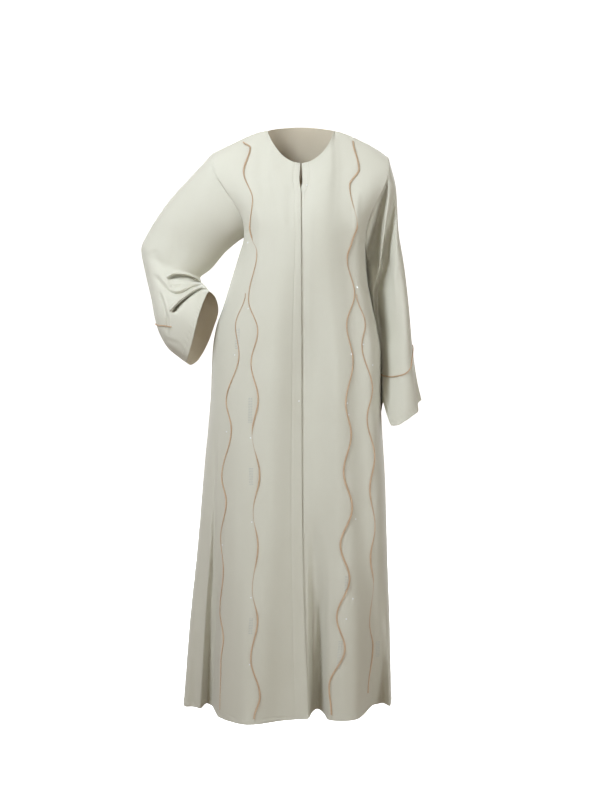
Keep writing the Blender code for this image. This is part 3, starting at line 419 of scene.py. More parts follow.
# crystals: the panel and where it is seen from the front
CRYSTALS = table("panel x z", mm="x z", rows=(
    ("front_left", 13.5, -125), ("front_left", 126, -353), ("front_left", 140, -481),
    ("front_left", 113, -502), ("front_left", 162, -528), ("front_left", 104, -612),
    ("front_left", 107, -638), ("front_left", 124, -875), ("front_left", 117, -1055),
    ("front_left", 102, -1100), ("front_right", -4.5, -608), ("front_right", -116, -250),
    ("front_right", -119, -400), ("front_right", -150, -505), ("front_right", -113, -690),
    ("front_right", -169, -680), ("front_right", -111, -880), ("front_right", -179, -940),
    ("front_right", -113, -1050), ("front_right", -116, -1200),
))
# thickness of the front cords: metres down from the side neck, and their thickness there
# as a share
CORD_THICKNESS = dict(
    trim_right_inner=(
        (0.02, 1.3), (0.09, 1.3), (0.13, 0.8), (0.2, 0.8), (0.22, 1.3), (0.24, 1.3), (0.25, 0.25),
        (0.26, 0.25), (0.28, 0.8), (0.37, 0.8), (0.45, 1), (0.52, 0.9), (0.6, 1.3), (0.66, 1.2),
        (0.685, 0.25), (0.715, 0.25), (0.74, 1.1), (0.79, 1.4), (0.85, 0.4), (0.88, 0.3),
        (0.91, 1.1), (0.96, 1.2), (1, 0.4), (1.05, 0.4), (1.09, 1.3), (1.17, 1.1), (1.24, 1.2),
        (1.28, 1.4), (1.32, 1.2)),
    trim_right_outer=(
        (0.37, 0.7), (0.5, 0.9), (0.62, 1.1), (0.67, 1.2), (0.76, 0.9), (0.83, 1.3), (0.9, 0.8),
        (0.95, 0.7), (1, 1.1), (1.08, 0.8), (1.15, 1.1), (1.22, 0.8), (1.32, 0.5)),
    trim_left_inner=(
        (0.02, 1.2), (0.12, 1.3), (0.14, 0.8), (0.17, 0.6), (0.18, 0.25), (0.205, 0.25),
        (0.22, 1.2), (0.27, 1.3), (0.31, 0.8), (0.4, 1), (0.6, 1.1), (0.7, 1.3), (0.93, 1.4),
        (1.1, 1.3), (1.32, 1.3)),
    trim_left_outer=(
        (0.37, 0.8), (0.56, 1), (0.7, 1), (0.8, 1.3), (0.88, 0.6), (0.92, 0.8), (0.97, 1.3),
        (1.01, 0.9), (1.03, 0.25), (1.06, 0.25), (1.09, 0.6), (1.15, 0.8), (1.18, 1.3), (1.25, 1),
        (1.29, 1.2)),
)


# ---- small tools ----------------------------------------------------------------------
def smooth(knots, values, at):
    """Cubic curve through the values that never overshoots them; straight past the ends."""
    order = np.argsort(knots)
    knots, values = knots[order], values[order]
    steps = np.diff(knots)
    slopes = np.diff(values) / steps
    bends = np.zeros_like(values)
    same_way = slopes[:-1] * slopes[1:] > 0
    mean = 2.0 * slopes[:-1] * slopes[1:] / np.where(same_way, slopes[:-1] + slopes[1:], 1.0)
    bends[1:-1] = np.where(same_way, mean, 0.0)
    bends[0], bends[-1] = slopes[0], slopes[-1]
    at = np.clip(at, knots[0], knots[-1])
    span = np.clip(np.searchsorted(knots, at) - 1, 0, len(steps) - 1)
    width = steps[span]
    f = (at - knots[span]) / width
    return ((1 + 2 * f) * (1 - f) ** 2 * values[span] + f ** 2 * (3 - 2 * f) * values[span + 1]
            + f * (1 - f) ** 2 * width * bends[span] - f ** 2 * (1 - f) * width * bends[span + 1])


def read(rows, name, key, at):
    """A table's column at any place between its rows."""
    knots, values = (np.array([row[column] for row in rows], float) for column in (key, name))
    return smooth(knots, values, np.asarray(at, float))


def ramp(value):
    """0 below 0, 1 above 1, with a soft start and end."""
    value = np.clip(value, 0.0, 1.0)
    return value * value * (3.0 - 2.0 * value)


def groove(distance, reach):
    """1 at no distance, fading to 0 past the reach."""
    return np.exp(-(distance / reach) ** 2)


def mix(a, b, share):
    return a + (b - a) * share


def floats(*values):
    return [np.array(value, float) for value in np.broadcast_arrays(*values)]


def stack(x, y, z):
    return np.stack(np.broadcast_arrays(x, y, z), axis=-1).astype(float)


def unit(vectors):
    return vectors / np.linalg.norm(vectors, axis=-1, keepdims=True)


def arc_length(points):
    gaps = np.linalg.norm(np.diff(points, axis=0), axis=1)
    return np.concatenate([[0.0], np.cumsum(gaps)])


# ---- the plain form -------------------------------------------------------------------
def fold_depth(panel, place, z):
    """How far the panel's folds push the cloth inwards."""
    depth = np.zeros(np.broadcast(place, z).shape)
    for fold in BODY_FOLDS:
        if fold["panel"] == panel:
            grown = np.clip((fold["top"] - z) / (fold["top"] - fold["full"]), 0.0, 1.0)
            off_line = np.abs(place - fold["at"] - fold["lean"] * (1.0 - grown)) / fold["wide"]
            across = ramp((1.0 - off_line) / fold["soft"])
            depth = depth + fold["deep"] * across * grown ** FOLD_GROWTH
    return depth


def outward(side):
    return -1.0 if side == "right" else 1.0


def middle_y(face, z):
    """y of the centre front or the centre back."""
    y = read(DEPTHS, face, "z", z)
    return -y if face == "front" else y


def armhole(side, turn):
    """Point of an armhole's ring: turn 0 is the shoulder tip, 90 the front, 180 the underarm."""
    tip_x, tip_z = ARMHOLES[side]["tip"]
    low_z = ARMHOLES[side]["underarm_z"]
    low_x = float(outward(side) * read(SIDES, side, "z", low_z))
    angle = np.radians(turn)
    fallen = (1.0 - np.cos(angle)) / 2.0
    x = mix(tip_x, low_x, fallen)
    x = x + outward(side) * ARMHOLE_CURL * np.sin(2.0 * np.pi * fallen)
    return stack(x, -ARMHOLE_HALF_DEPTH * np.sin(angle), mix(tip_z, low_z, fallen))


def section(side, face, place, level):
    """Body below the underarms: place 0 is the centre, 1 the side seam; level 0 is the hem."""
    centre_z = mix(HEM_Z, UNDERARM_CENTRE_Z, level)
    edge_z = mix(SIDE_HEM_Z[side], ARMHOLES[side]["underarm_z"], level)
    z = mix(centre_z, edge_z, place ** 2)
    angle = np.radians(90.0 * place)
    power = 2.0 / SECTION_FULLNESS
    x = outward(side) * read(SIDES, side, "z", z) * np.sign(angle) * np.abs(np.sin(angle)) ** power
    return stack(x, middle_y(face, z) * np.abs(np.cos(angle)) ** power, z)


def top_edge(side, face, place):
    """Neckline, then shoulder seam, from the centre out to the shoulder tip."""
    tip_x, tip_z = ARMHOLES[side]["tip"]
    neck_x = outward(side) * NECK_HALF_WIDTH
    neck_y, neck_z = NECK[face]
    angle = np.radians(90.0 * np.clip(place / NECK_SHARE, -1.0, 1.0))
    seam = np.clip((place - NECK_SHARE) / (1.0 - NECK_SHARE), 0.0, 1.0)
    x = neck_x * np.sin(angle) + (tip_x - neck_x) * seam
    z = neck_z * np.abs(np.cos(angle)) ** NECK_DROP_POWER + tip_z * seam ** SHOULDER_POWER
    return stack(x, neck_y * np.cos(angle), z)


def yoke(side, face, place, rise):
    """Body above the underarms: a four-sided patch between its four edge curves."""
    zero, one = np.zeros_like(place), np.ones_like(place)
    blend, share = ramp(rise)[..., None], place[..., None]
    turn = 180.0 * (1.0 - rise)
    edge = armhole(side, turn if face == "front" else -turn)
    centre_z = mix(UNDERARM_CENTRE_Z, NECK[face][1], rise)
    centre = stack(0.0, middle_y(face, centre_z), centre_z)
    low, low_centre, low_edge = (section(side, face, at, one) for at in (place, zero, one))
    high, high_centre, high_edge = (top_edge(side, face, at) for at in (place, zero, one))
    corners = mix(mix(low_centre, low_edge, share), mix(high_centre, high_edge, share), blend)
    return mix(low, high, blend) + mix(centre, edge, share) - corners


def body_surface(panel, side, face, place, rise):
    """Outer face of the body; rise runs from -1 at the hem, over 0 at the underarm, to 1."""
    place, rise = floats(place, rise)
    below = section(side, face, place, np.clip(rise + 1.0, 0.0, 1.0))
    above = yoke(side, face, place, np.clip(rise, 0.0, 1.0))
    points = np.where((rise > 0.0)[..., None], above, below)
    signed = -place if side == "right" and face == "back" else place
    inwards = 1.0 if face == "front" else -1.0
    points[..., 1] += inwards * fold_depth(panel, signed, points[..., 2])
    points[..., 1] -= inwards * SEAM_GAP / 2.0
    return points


def front_surface(side, share, rise):
    """Outer face of a front: share 0 is its free front edge, 1 its side seam and armhole."""
    panel = "front_" + side
    share, rise = floats(share, rise)
    edge_z = body_surface(panel, side, "front", np.zeros_like(share), rise)[..., 2]
    start = outward(side) * read(OPENING, side, "z", edge_z) / read(SIDES, side, "z", edge_z)
    start = np.sign(start) * np.degrees(np.arcsin(np.abs(start) ** (SECTION_FULLNESS / 2.0))) / 90.0
    place = share + start * ramp(1.0 - share / NECK_SHARE)
    points = body_surface(panel, side, "front", place, rise)
    if side == "left":
        start, end = LAP_BLEND
        past_edge = points[..., 0] - read(OPENING, "right", "z", points[..., 2])
        points[..., 1] += LAP_DROP * (1.0 - ramp((past_edge - start) / (end - start)))
    return points


def back_surface(place, rise):
    """Outer face of the back: place -1 is the right side seam, 1 the left one."""
    place, rise = floats(place, rise)
    right, left = (body_surface("back", side, "back", np.abs(place), rise)
                   for side in ("right", "left"))
    return np.where((place < 0.0)[..., None], right, left)


def sleeve_section(side, along, turn):
    """Point of a sleeve's plain section, before it is joined to the armhole and folded."""
    value = {name: read(SLEEVES[side], name, "along", along) for name in SLEEVE_SIZES.split()}
    angle = np.radians(turn)
    over, forward = np.cos(angle), np.sin(angle)
    mid_x = (value["outer_x"] + value["inner_x"]) / 2.0
    mid_z = (value["outer_z"] + value["inner_z"]) / 2.0
    x = mid_x + (value["outer_x"] - mid_x) * over + value["lean_x"] * forward
    y = value["y"] - value["deep"] * forward - value["swing"] / 2.0 * over
    z = mid_z + (value["outer_z"] - mid_z) * over + value["lean_z"] * forward
    return stack(x, y, z)


def sleeve_surface(side, along, turn):
    """Outer face of a sleeve: along 0 is the armhole, 1 the cuff; turn as on the armhole."""
    along, turn = floats(along, turn)
    points = sleeve_section(side, along, turn)
    to_ring = armhole(side, turn) - sleeve_section(side, np.zeros_like(along), turn)
    mouth = stack(*(read(MOUTHS[side], axis, "turn", np.mod(turn, 360.0)) for axis in "xyz"))
    to_mouth = mouth - sleeve_section(side, np.ones_like(along), turn)
    points += to_ring * (1.0 - ramp(along / SLEEVE_BLEND))[..., None]
    return points + to_mouth * ramp((along - MOUTH_START) / (1.0 - MOUTH_START))[..., None]


def sleeve_fold_depth(side, along, turn):
    """How far the folds push the sleeve's cloth inwards: they run along the left sleeve and
    round the right one."""
    place = dict(along=along, turn=turn)
    run, off = ("along", "turn") if side == "left" else ("turn", "along")
    depth = np.zeros(np.broadcast(along, turn).shape)
    for fold in SLEEVE_FOLDS:
        if fold["sleeve"] == side:
            reach = (place[run] - fold["from_" + run]) / (fold["to_" + run] - fold["from_" + run])
            line = mix(fold["from_" + off], fold["to_" + off], reach)
            off_line = np.abs(place[off] - line) / fold["wide"]
            ends = ramp(reach * FOLD_ENDS) * ramp((1.0 - reach) * FOLD_ENDS)
            depth = depth + fold["deep"] * ramp(1.0 - off_line) * ends
    return depth


def on_front(side, x, z):
    """Share and rise of the front's point that is seen at x and z from the front."""
    tip_z = ARMHOLES[side]["tip"][1]
    share = np.full_like(x, 0.5)
    over = z - UNDERARM_CENTRE_Z
    rise = over / np.where(over < 0.0, UNDERARM_CENTRE_Z - HEM_Z, tip_z - UNDERARM_CENTRE_Z)
    for _ in range(SEEK_STEPS):
        here = front_surface(side, share, rise)
        by_share = (front_surface(side, share + SEEK_NUDGE, rise) - here) / SEEK_NUDGE
        by_rise = (front_surface(side, share, rise + SEEK_NUDGE) - here) / SEEK_NUDGE
        miss_x, miss_z = x - here[:, 0], z - here[:, 2]
        area = by_share[:, 0] * by_rise[:, 2] - by_share[:, 2] * by_rise[:, 0]
        area = np.copysign(np.maximum(np.abs(area), SEEK_NUDGE), area)
        share = share + SEEK_SHARE * (miss_x * by_rise[:, 2] - miss_z * by_rise[:, 0]) / area
        rise = rise + SEEK_SHARE * (by_share[:, 0] * miss_z - by_share[:, 2] * miss_x) / area
        share, rise = (np.clip(value, *limits) for value, limits in zip((share, rise), SEEK_LIMITS))
    return share, rise


# ---- the dressed form -----------------------------------------------------------------
PARAMETERS = dict(          # limits and steps of u and v: round and up a body panel,
    front=((0.0, 1.0, 0.002), (-1.0, 1.0, 0.002)),          # along and round a sleeve
    back=((-1.0, 1.0, 0.002), (-1.0, 1.0, 0.002)),
    sleeve=((0.0, 1.0, 0.002), (-720.0, 720.0, 0.5)),
)
TURNED = ("front_right", "back", "sleeve_left")     # u, v and outwards are left-handed


def kind_of(piece):
    return piece.split("_")[0]


def side_of(piece):
    return piece.split("_")[-1]


def bare(piece, u, v):
    """Form of a piece in the CAD, without its folds if it is a sleeve."""
    if piece == "back":
        return back_surface(u, v)
    surface = front_surface if kind_of(piece) == "front" else sleeve_surface
    return surface(side_of(piece), u, v)


def eased(piece, u, v):
    """The bare form of a body panel, smoothed over its bends at the underarms and the neck."""
    points = bare(piece, u, v)
    rise = v * np.where(v < 0.0, BODY_LENGTH, ARMHOLE_SPAN)
    underarms = groove(rise, EASE_REACH) * ramp((1.0 - np.abs(u)) / EASE_SIDE)
    neck = (groove(np.abs(u) - NECK_SHARE, NECK_EASE) * ramp((1.0 - v) / NECK_EASE_TOP)
            * ramp(rise / EASE_REACH))
    for amount, reach_u, reach_v in ((underarms, 0.0, EASE_REACH), (neck, NECK_EASE, 0.0)):
        near = amount > EASE_LEAST
        if near.any():
            mean = 0.0
            for step in EASE_STEPS:
                moved = rise[near] + step * reach_v
                moved = moved / np.where(moved < 0.0, BODY_LENGTH, ARMHOLE_SPAN)
                mean = mean + bare(piece, u[near] + step * reach_u, moved) / len(EASE_STEPS)
            points[near] = mix(points[near], mean, amount[near][:, None])
    return points


def plain(piece, u, v):
    """Form of a piece before it is creased and stitched, with a sleeve's deep folds pressed in."""
    if kind_of(piece) != "sleeve":
        return eased(piece, u, v)
    points = bare(piece, u, v)
    facing = np.sin(np.radians(v)) > 0.0
    share = np.zeros(points.shape[:-1])
    for fold in PRESSED_FOLDS:
        if fold["piece"] == piece:
            pressed = line_profile(fold, points[..., 0], points[..., 2], facing)
            share = share + pressed * (1.0 - share)
    return mix(points, bare(piece, u, -v), share[..., None])


def directions(form, piece, u, v):
    """Outward unit normals of a form at the given places."""
    (low_u, high_u, step_u), (low_v, high_v, step_v) = PARAMETERS[kind_of(piece)]
    by_u = (form(piece, np.clip(u + step_u, low_u, high_u), v)
            - form(piece, np.clip(u - step_u, low_u, high_u), v))
    by_v = (form(piece, u, np.clip(v + step_v, low_v, high_v))
            - form(piece, u, np.clip(v - step_v, low_v, high_v)))
    normals = unit(np.cross(by_u, by_v))
    return -normals if piece in TURNED else normals


def curve_through(knots):
    """Finer points along a smooth curve through the knots of a crease."""
    way = arc_length(knots)
    fine = np.linspace(0.0, way[-1], CREASE_FINE * len(knots))
    return np.stack([smooth(way, values, fine) for values in knots.T], axis=1)


def along_line(line, x, z):
    """Share of the line's length that lies nearest to each point, and the signed distance."""
    best = np.full(x.shape, np.inf)
    share, signed = np.zeros(x.shape), np.zeros(x.shape)
    for i, (start, end) in enumerate(zip(line[:-1], line[1:])):
        way = end - start
        off_x, off_z = x - start[0], z - start[1]
        part = np.clip((off_x * way[0] + off_z * way[1]) / float(way @ way), 0.0, 1.0)
        away = np.hypot(off_x - part * way[0], off_z - part * way[1])
        nearer = away < best
        best = np.where(nearer, away, best)
        share = np.where(nearer, (i + part) / (len(line) - 1), share)
        signed = np.where(nearer, np.copysign(away, way[0] * off_z - way[1] * off_x), signed)
    return share, signed


def line_profile(fold, x, z, facing):
    """How deep a fold's trough is at points seen from the front, less the roll beside it."""
    line = curve_through(fold["line"])
    reach = CREASE_REACH * max(fold["wide"], fold["wide_end"])
    near = (facing & (x > line[:, 0].min() - reach) & (x < line[:, 0].max() + reach)
            & (z > line[:, 1].min() - reach) & (z < line[:, 1].max() + reach))
    share, off = along_line(line, x[near], z[near])
    wide = mix(fold["wide"], fold["wide_end"], share)
    trough = np.exp(-np.abs(off / wide) ** fold["round"])
    lip = fold["lip"] * np.exp(-(off / wide - LIP_OFFSET) ** 2)
    ends = ramp(share * fold["ends"]) * ramp((1.0 - share) * fold["ends"])
    depth = np.zeros(x.shape)
    depth[near] = mix(fold["deep"], fold["deep_end"], share) * (trough - lip) * ends
    return depth


def creased(piece, points, normals):
    """How far each crease presses the cloth straight in from the side it is seen from."""
    pressed = np.zeros(points.shape[:-1])
    for crease in CREASES:
        if crease["piece"] == piece:
            towards = 1.0 if crease["face"] == "front" else -1.0
            seen = -towards * normals[..., 1]
            depth = line_profile(crease, points[..., 0], points[..., 2], seen > 0.0)
            pressed += towards * depth * ramp(seen / CREASE_FACING)
    return pressed


def undulation(points):
    """Slow uneven waves of hanging cloth, the same on every piece so that seams meet."""
    chance = np.random.default_rng(UNDULATION_SEED)
    height = np.zeros(points.shape[:-1])
    for _ in range(UNDULATION_COUNT):
        across, upright = chance.uniform(*UNDULATION_ACROSS), chance.uniform(*UNDULATION_UPRIGHT)
        heading, phase = chance.uniform(0.0, 2.0 * np.pi), chance.uniform(0.0, 2.0 * np.pi)
        way = np.array([across * math.cos(heading), across * math.sin(heading), upright])
        height += np.sin(points @ way + phase) / across
    return height * UNDULATION * UNDULATION_USUAL / math.sqrt(UNDULATION_COUNT)


def edge_distances(piece, u, v):
    """Distances to a piece's hem and to its seams, and to its front edge if it has one."""
    if kind_of(piece) == "sleeve":
        return (1.0 - u) * SLEEVE_LENGTH, u * SLEEVE_LENGTH, np.full_like(u, np.inf)
    hem = (v + 1.0) * BODY_LENGTH
    side = (1.0 - np.abs(u)) * PANEL_WIDTH
    shoulder = np.where(np.abs(u) > NECK_SHARE, (1.0 - v) * ARMHOLE_SPAN, np.inf)
    front_edge = u * PANEL_WIDTH if kind_of(piece) == "front" else np.full_like(u, np.inf)
    return hem, np.minimum(side, shoulder), front_edge


def stitched_relief(piece, points, u, v):
    """Doubled hems with their stitch lines, seams that sink in, and the puckers along them."""
    hem, seam, front_edge = edge_distances(piece, u, v)
    height = HEM_RISE * ramp((HEM_WIDTH - hem) / HEM_STEP + 0.5)
    height -= HEM_RISE * groove(hem - HEM_WIDTH + HEM_STEP, HEM_GROOVE)
    height -= SEAM_DIP * groove(seam, SEAM_REACH)
    height -= FACING_DIP[0] * groove(front_edge - FACING_WIDTH, FACING_DIP[1])
    height += HEM_RISE * 0.5 * ramp((FACING_WIDTH - front_edge) / HEM_STEP + 0.5)
    way = points @ PUCKER_WAY
    near = groove(seam, 3.0 * SEAM_REACH) + groove(hem - HEM_WIDTH, 2.0 * SEAM_REACH)
    drift, often = PUCKER_UNEVEN
    height += PUCKER * near * np.sin(2.0 * np.pi * way / PUCKER_LENGTH + drift * np.sin(often * way))
    return height


def dressed(piece, u, v):
    """Outer face of a piece as it is seen, with all its folds, creases, seams and hems."""
    u, v = floats(u, v)
    points = plain(piece, u, v)
    normals = directions(plain, piece, u, v)
    height = undulation(points) + stitched_relief(piece, points, u, v)
    if kind_of(piece) == "sleeve":
        height -= ELBOW_SHARE * sleeve_fold_depth(side_of(piece), u, np.mod(v, 360.0))
    from_seam = edge_distances(piece, u, v)[1]
    pressed = creased(piece, points, normals) * ramp(from_seam / SEAM_CLEAR)
    return points + height[..., None] * normals + stack(0.0, pressed, 0.0)


def laid_on(piece, u, v):
    """Points and outward normals of a dressed piece."""
    return dressed(piece, u, v), directions(dressed, piece, u, v)


def seen_on(panel, x, z):
    """Points and normals of a dressed front where it is seen at x and z from the front."""
    return laid_on(panel, *on_front(side_of(panel), np.array(x, float), np.array(z, float)))


# ---- the shells -----------------------------------------------------------------------
def row_places(low, high, count, crowds):
    """Places from low to high, closer together in each (centre, half-width, strength)."""
    fine = np.linspace(0.0, 1.0, CROWD_FINE)
    at = mix(low, high, fine)
    density = np.ones_like(fine)
    for centre, reach, strength in crowds:
        density += strength * groove(at - centre, reach)
    total = np.concatenate([[0.0], np.cumsum((density[1:] + density[:-1]) / 2.0)])
    return mix(low, high, np.interp(np.linspace(0.0, total[-1], count), total, fine))


def panel_grid(piece):
    """Places across and up a body panel, closer together at its edges, hem and folds."""
    low = -1.0 if piece == "back" else 0.0
    crowds = [(fold["at"], fold["wide"], FOLD_CROWD * abs(fold["deep"]) / fold["wide"])
              for fold in BODY_FOLDS if fold["panel"] == piece]
    crowds += [(edge, *SIDE_CROWD) for edge in ((-1.0, 1.0) if piece == "back" else (1.0,))]
    if piece != "back":
        crowds.append((FACING_WIDTH / PANEL_WIDTH, *FACING_CROWD))
    columns, rows = GRIDS[kind_of(piece)]
    upwards = [(HEM_WIDTH / BODY_LENGTH - 1.0, *HEM_CROWD), TOP_CROWD]
    return row_places(low, 1.0, columns, crowds), row_places(-1.0, 1.0, rows, upwards)


def sleeve_grid(piece):
    """Places along and round a sleeve, closer together at its ends and its bend."""
    start, end = ELBOWS[side_of(piece)]
    columns, rows = GRIDS["sleeve"]
    crowds = [((start + end) / 2.0, (end - start) / 2.0, ELBOW_CROWD),
              (1.0 - HEM_WIDTH / SLEEVE_LENGTH, *CUFF_CROWD), ARMHOLE_CROWD]
    turns = row_places(0.0, 360.0, columns + 1, [INNER_CROWD])
    return row_places(0.0, 1.0, rows, crowds), turns[:-1]


def quads(rows, columns, closed):
    last = columns if closed else columns - 1
    i, j = np.meshgrid(np.arange(rows - 1), np.arange(last), indexing="ij")
    k = (j + 1) % columns
    return np.stack([i * columns + j, i * columns + k, (i + 1) * columns + k,
                     (i + 1) * columns + j], axis=-1).reshape(-1, 4)


def add_mesh(name, points, faces, finishes, smooth_faces=True):
    mesh = bpy.data.meshes.new(name)
    mesh.from_pydata(points.reshape(-1, 3).tolist(), [], [tuple(face) for face in faces])
    for finish in finishes:
        mesh.materials.append(finish)
    if smooth_faces:
        mesh.shade_smooth()
    mesh.update()
    made = bpy.data.objects.new(name, mesh)
    bpy.context.scene.collection.objects.link(made)
    return made


def add_shell(piece, u, v, closed, finishes):
    """A piece's cloth as one thin sheet, its outer face where the CAD's outer face is."""
    faces = quads(len(u), len(v), closed)
    if piece not in TURNED:
        faces = faces[:, ::-1]
    points = dressed(piece, *np.meshgrid(u, v, indexing="ij"))
    made = add_mesh("shell_" + piece, points, faces, finishes)
    shell = made.modifiers.new("cloth", "SOLIDIFY")
    shell.thickness = SHELL
    shell.offset = -1.0
    # the inner face takes the second finish, the inside crepe painted with warm bounce light
    shell.material_offset = 1
    shell.material_offset_rim = 0
    made.modifiers.new("crisp_edges", "WEIGHTED_NORMAL")
    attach(made, "root")
    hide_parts(piece)
    return made


# ---- tubes, beads and crystals --------------------------------------------------------
def refined(points, normals, step):
    """The same path with evenly spaced points, the normals there, and the way to each."""
    way = arc_length(points)
    even = np.linspace(0.0, way[-1], max(2, int(round(way[-1] / step)) + 1))
    along, turned = (np.stack([np.interp(even, way, axis) for axis in values.T], axis=1)
                     for values in (points, normals))
    return along, unit(turned), even


def ring_ways(sides):
    """Cosine and sine of the angle to each corner of a ring."""
    angles = 2.0 * np.pi * np.arange(sides) / sides
    return np.cos(angles)[:, None], np.sin(angles)[:, None]


def tube(points, normals, radius, sides):
    """Vertices and four-sided faces of a round tube along a path, narrowed at its ends."""
    ways = unit(np.gradient(points, axis=0))
    across = unit(np.cross(ways, normals))
    upwards = np.cross(across, ways)
    radius = np.broadcast_to(radius, len(points))[:, None, None]
    over, up = ring_ways(sides)
    rings = points[:, None] + radius * (over * across[:, None] + up * upwards[:, None])
    for end in (0, -1):
        rings[end] = mix(points[end], rings[end], TUBE_END)
    return rings.reshape(-1, 3), quads(len(points), sides, closed=True)


def joined(parts):
    """Several (vertices, faces) as one."""
    vertices, faces, count = [], [], 0
    for points, corners in parts:
        vertices.append(points)
        faces += [tuple(count + int(corner) for corner in face) for face in corners]
        count += len(points)
    return np.concatenate(vertices), faces


def wave(turns):
    """Points of a cord that swings smoothly from each turning point to the next."""
    points = []
    for start, end in zip(turns[:-1], turns[1:]):
        count = max(2, int(round(abs(end[1] - start[1]) / PATH_STEP)))
        for share in np.arange(count) / count:
            swing = (1.0 - math.cos(math.pi * share)) / 2.0
            points.append((mix(start[0], end[0], swing), mix(start[1], end[1], share)))
    points.append(tuple(turns[-1]))
    return np.array(points)


def cord_path(cord):
    """Points and normals of the dressed cloth under a cord."""
    if kind_of(cord["piece"]) == "front":
        return seen_on(cord["piece"], *wave(cord["turns"]).T)
    turns, places = np.array(cord["turns"], float).T
    turn = np.linspace(turns[0], turns[-1], CUFF_POINTS)
    return laid_on(cord["piece"], smooth(turns, places, turn), turn)


def thickness_along(name, points):
    """A front cord swells at its waves' crests and thins out between them."""
    if name not in CORD_THICKNESS:
        return np.ones(len(points))
    return np.interp(-points[:, 2], *np.array(CORD_THICKNESS[name]).T)


def add_cord(name, path, finish):
    """Two strands twisted into a cord that lies on the cloth."""
    points, normals, way = refined(*path, STRAND_STEP)
    thick = thickness_along(name, points)[:, None]
    across = unit(np.cross(unit(np.gradient(points, axis=0)), normals))
    strands = []
    for phase in (0.0, math.pi):
        angle = (2.0 * np.pi * way / STRAND_PITCH + phase)[:, None]
        axis = (points + across * np.cos(angle) * STRAND_SPREAD * thick + normals
                * (CORD_LIFT + np.sin(angle) * STRAND_SPREAD * STRAND_FLATNESS) * thick)
        strands.append(tube(axis, normals, STRAND_RADIUS * thick[:, 0], STRAND_SIDES))
    made = add_mesh("cord_" + name.replace("trim_", ""), *joined(strands), [finish])
    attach(made, "root")
    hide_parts(name)
    return made


def gem(centre, out):
    """Faceted crystal: rings of (radius, height) with a flat face at both ends."""
    across = unit(np.cross(out, np.array([0.0, 0.0, 1.0])))
    upwards = np.cross(across, out)
    over, up = ring_ways(CRYSTAL_SIDES)
    points = [centre + out * height + radius * (over * across + up * upwards)
              for radius, height in CRYSTAL_RINGS]
    faces = quads(len(CRYSTAL_RINGS), CRYSTAL_SIDES, closed=True).tolist()
    last = (len(CRYSTAL_RINGS) - 1) * CRYSTAL_SIDES
    faces.append(tuple(range(CRYSTAL_SIDES))[::-1])
    faces.append(tuple(range(last, last + CRYSTAL_SIDES)))
    return np.concatenate(points), faces


def add_decoration(name, parts, finish, smooth_faces=True):
    made = add_mesh(name, *joined(parts), [finish], smooth_faces)
    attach(made, "root")
    return made


def add_bead_rows(panel, finish):
    """Bugle beads sewn across in the hollows of the cords' waves, one above the other."""
    parts = []
    for patch in BEAD_ROWS:
        if patch["panel"] != panel:
            continue
        z = np.arange(patch["low"], patch["top"], BEAD_ROW_PITCH)
        share = (z - patch["low"]) / (patch["top"] - patch["low"])
        middle = mix(patch["x_low"], patch["x_top"], share)
        for end in (-1.0, 1.0):
            x = middle + end * BUGLE_GAP
            starts, outs = seen_on(panel, x, z)
            stops = seen_on(panel, x + end * BUGLE_LENGTH, z)[0]
            for start, stop, out in zip(starts, stops, outs):
                line = mix(start, stop, BUGLE_STATIONS[:, None]) + out * BUGLE_RADIUS
                parts.append(tube(line, np.broadcast_to(out, line.shape), BUGLE_RADIUS, BEAD_SIDES))
    return add_decoration("beads_" + panel, parts, finish)


def add_crystals(panel, finish):
    """Small faceted crystals beside the cords."""
    places = [row for row in CRYSTALS if row["panel"] == panel]
    laid = seen_on(panel, *([row[axis] for row in places] for axis in "xz"))
    parts = [gem(point, out) for point, out in zip(*laid)]
    return add_decoration("crystals_" + panel, parts, finish, smooth_faces=False)


def stitches(piece, u, v):
    """A row of short stitches along places on a piece."""
    points, normals, way = refined(*laid_on(piece, u, v), STITCH_STEP)
    per_pitch = int(round(STITCH_PITCH / STITCH_STEP))
    long = int(round(STITCH_LENGTH / STITCH_STEP)) + 1
    parts = []
    for start in range(0, len(way) - per_pitch, per_pitch):
        run = slice(start, start + long)
        lifted = points[run] + normals[run] * STITCH_RADIUS * STITCH_LIFT
        parts.append(tube(lifted, normals[run], STITCH_RADIUS, STITCH_SIDES))
    return parts


def add_stitches(piece, finish):
    """The stitch lines of a piece's hem, and of its front edge and neckline."""
    even = np.linspace(0.0, 1.0, STITCH_PLACES)
    if kind_of(piece) == "sleeve":
        parts = stitches(piece, np.full_like(even, 1.0 - HEM_WIDTH / SLEEVE_LENGTH), 360.0 * even)
    else:
        low = -1.0 if piece == "back" else 0.0
        hem, top = HEM_WIDTH / BODY_LENGTH - 1.0, 1.0 - NECK_HEM / ARMHOLE_SPAN
        parts = stitches(piece, mix(low, 1.0, even), np.full_like(even, hem))
        neck = mix(low * NECK_SHARE, NECK_SHARE, even)
        parts += stitches(piece, neck, np.full_like(even, top))
        if kind_of(piece) == "front":
            edge = np.full_like(even, FACING_WIDTH / PANEL_WIDTH)
            parts += stitches(piece, edge, mix(hem, top, even))
    return add_decoration("stitches_" + piece, parts, finish)


# ---- materials ------------------------------------------------------------------------
MIX_FIRST, MIX_SECOND, MIX_RESULT = 6, 7, 2     # places of the Mix node's colour sockets


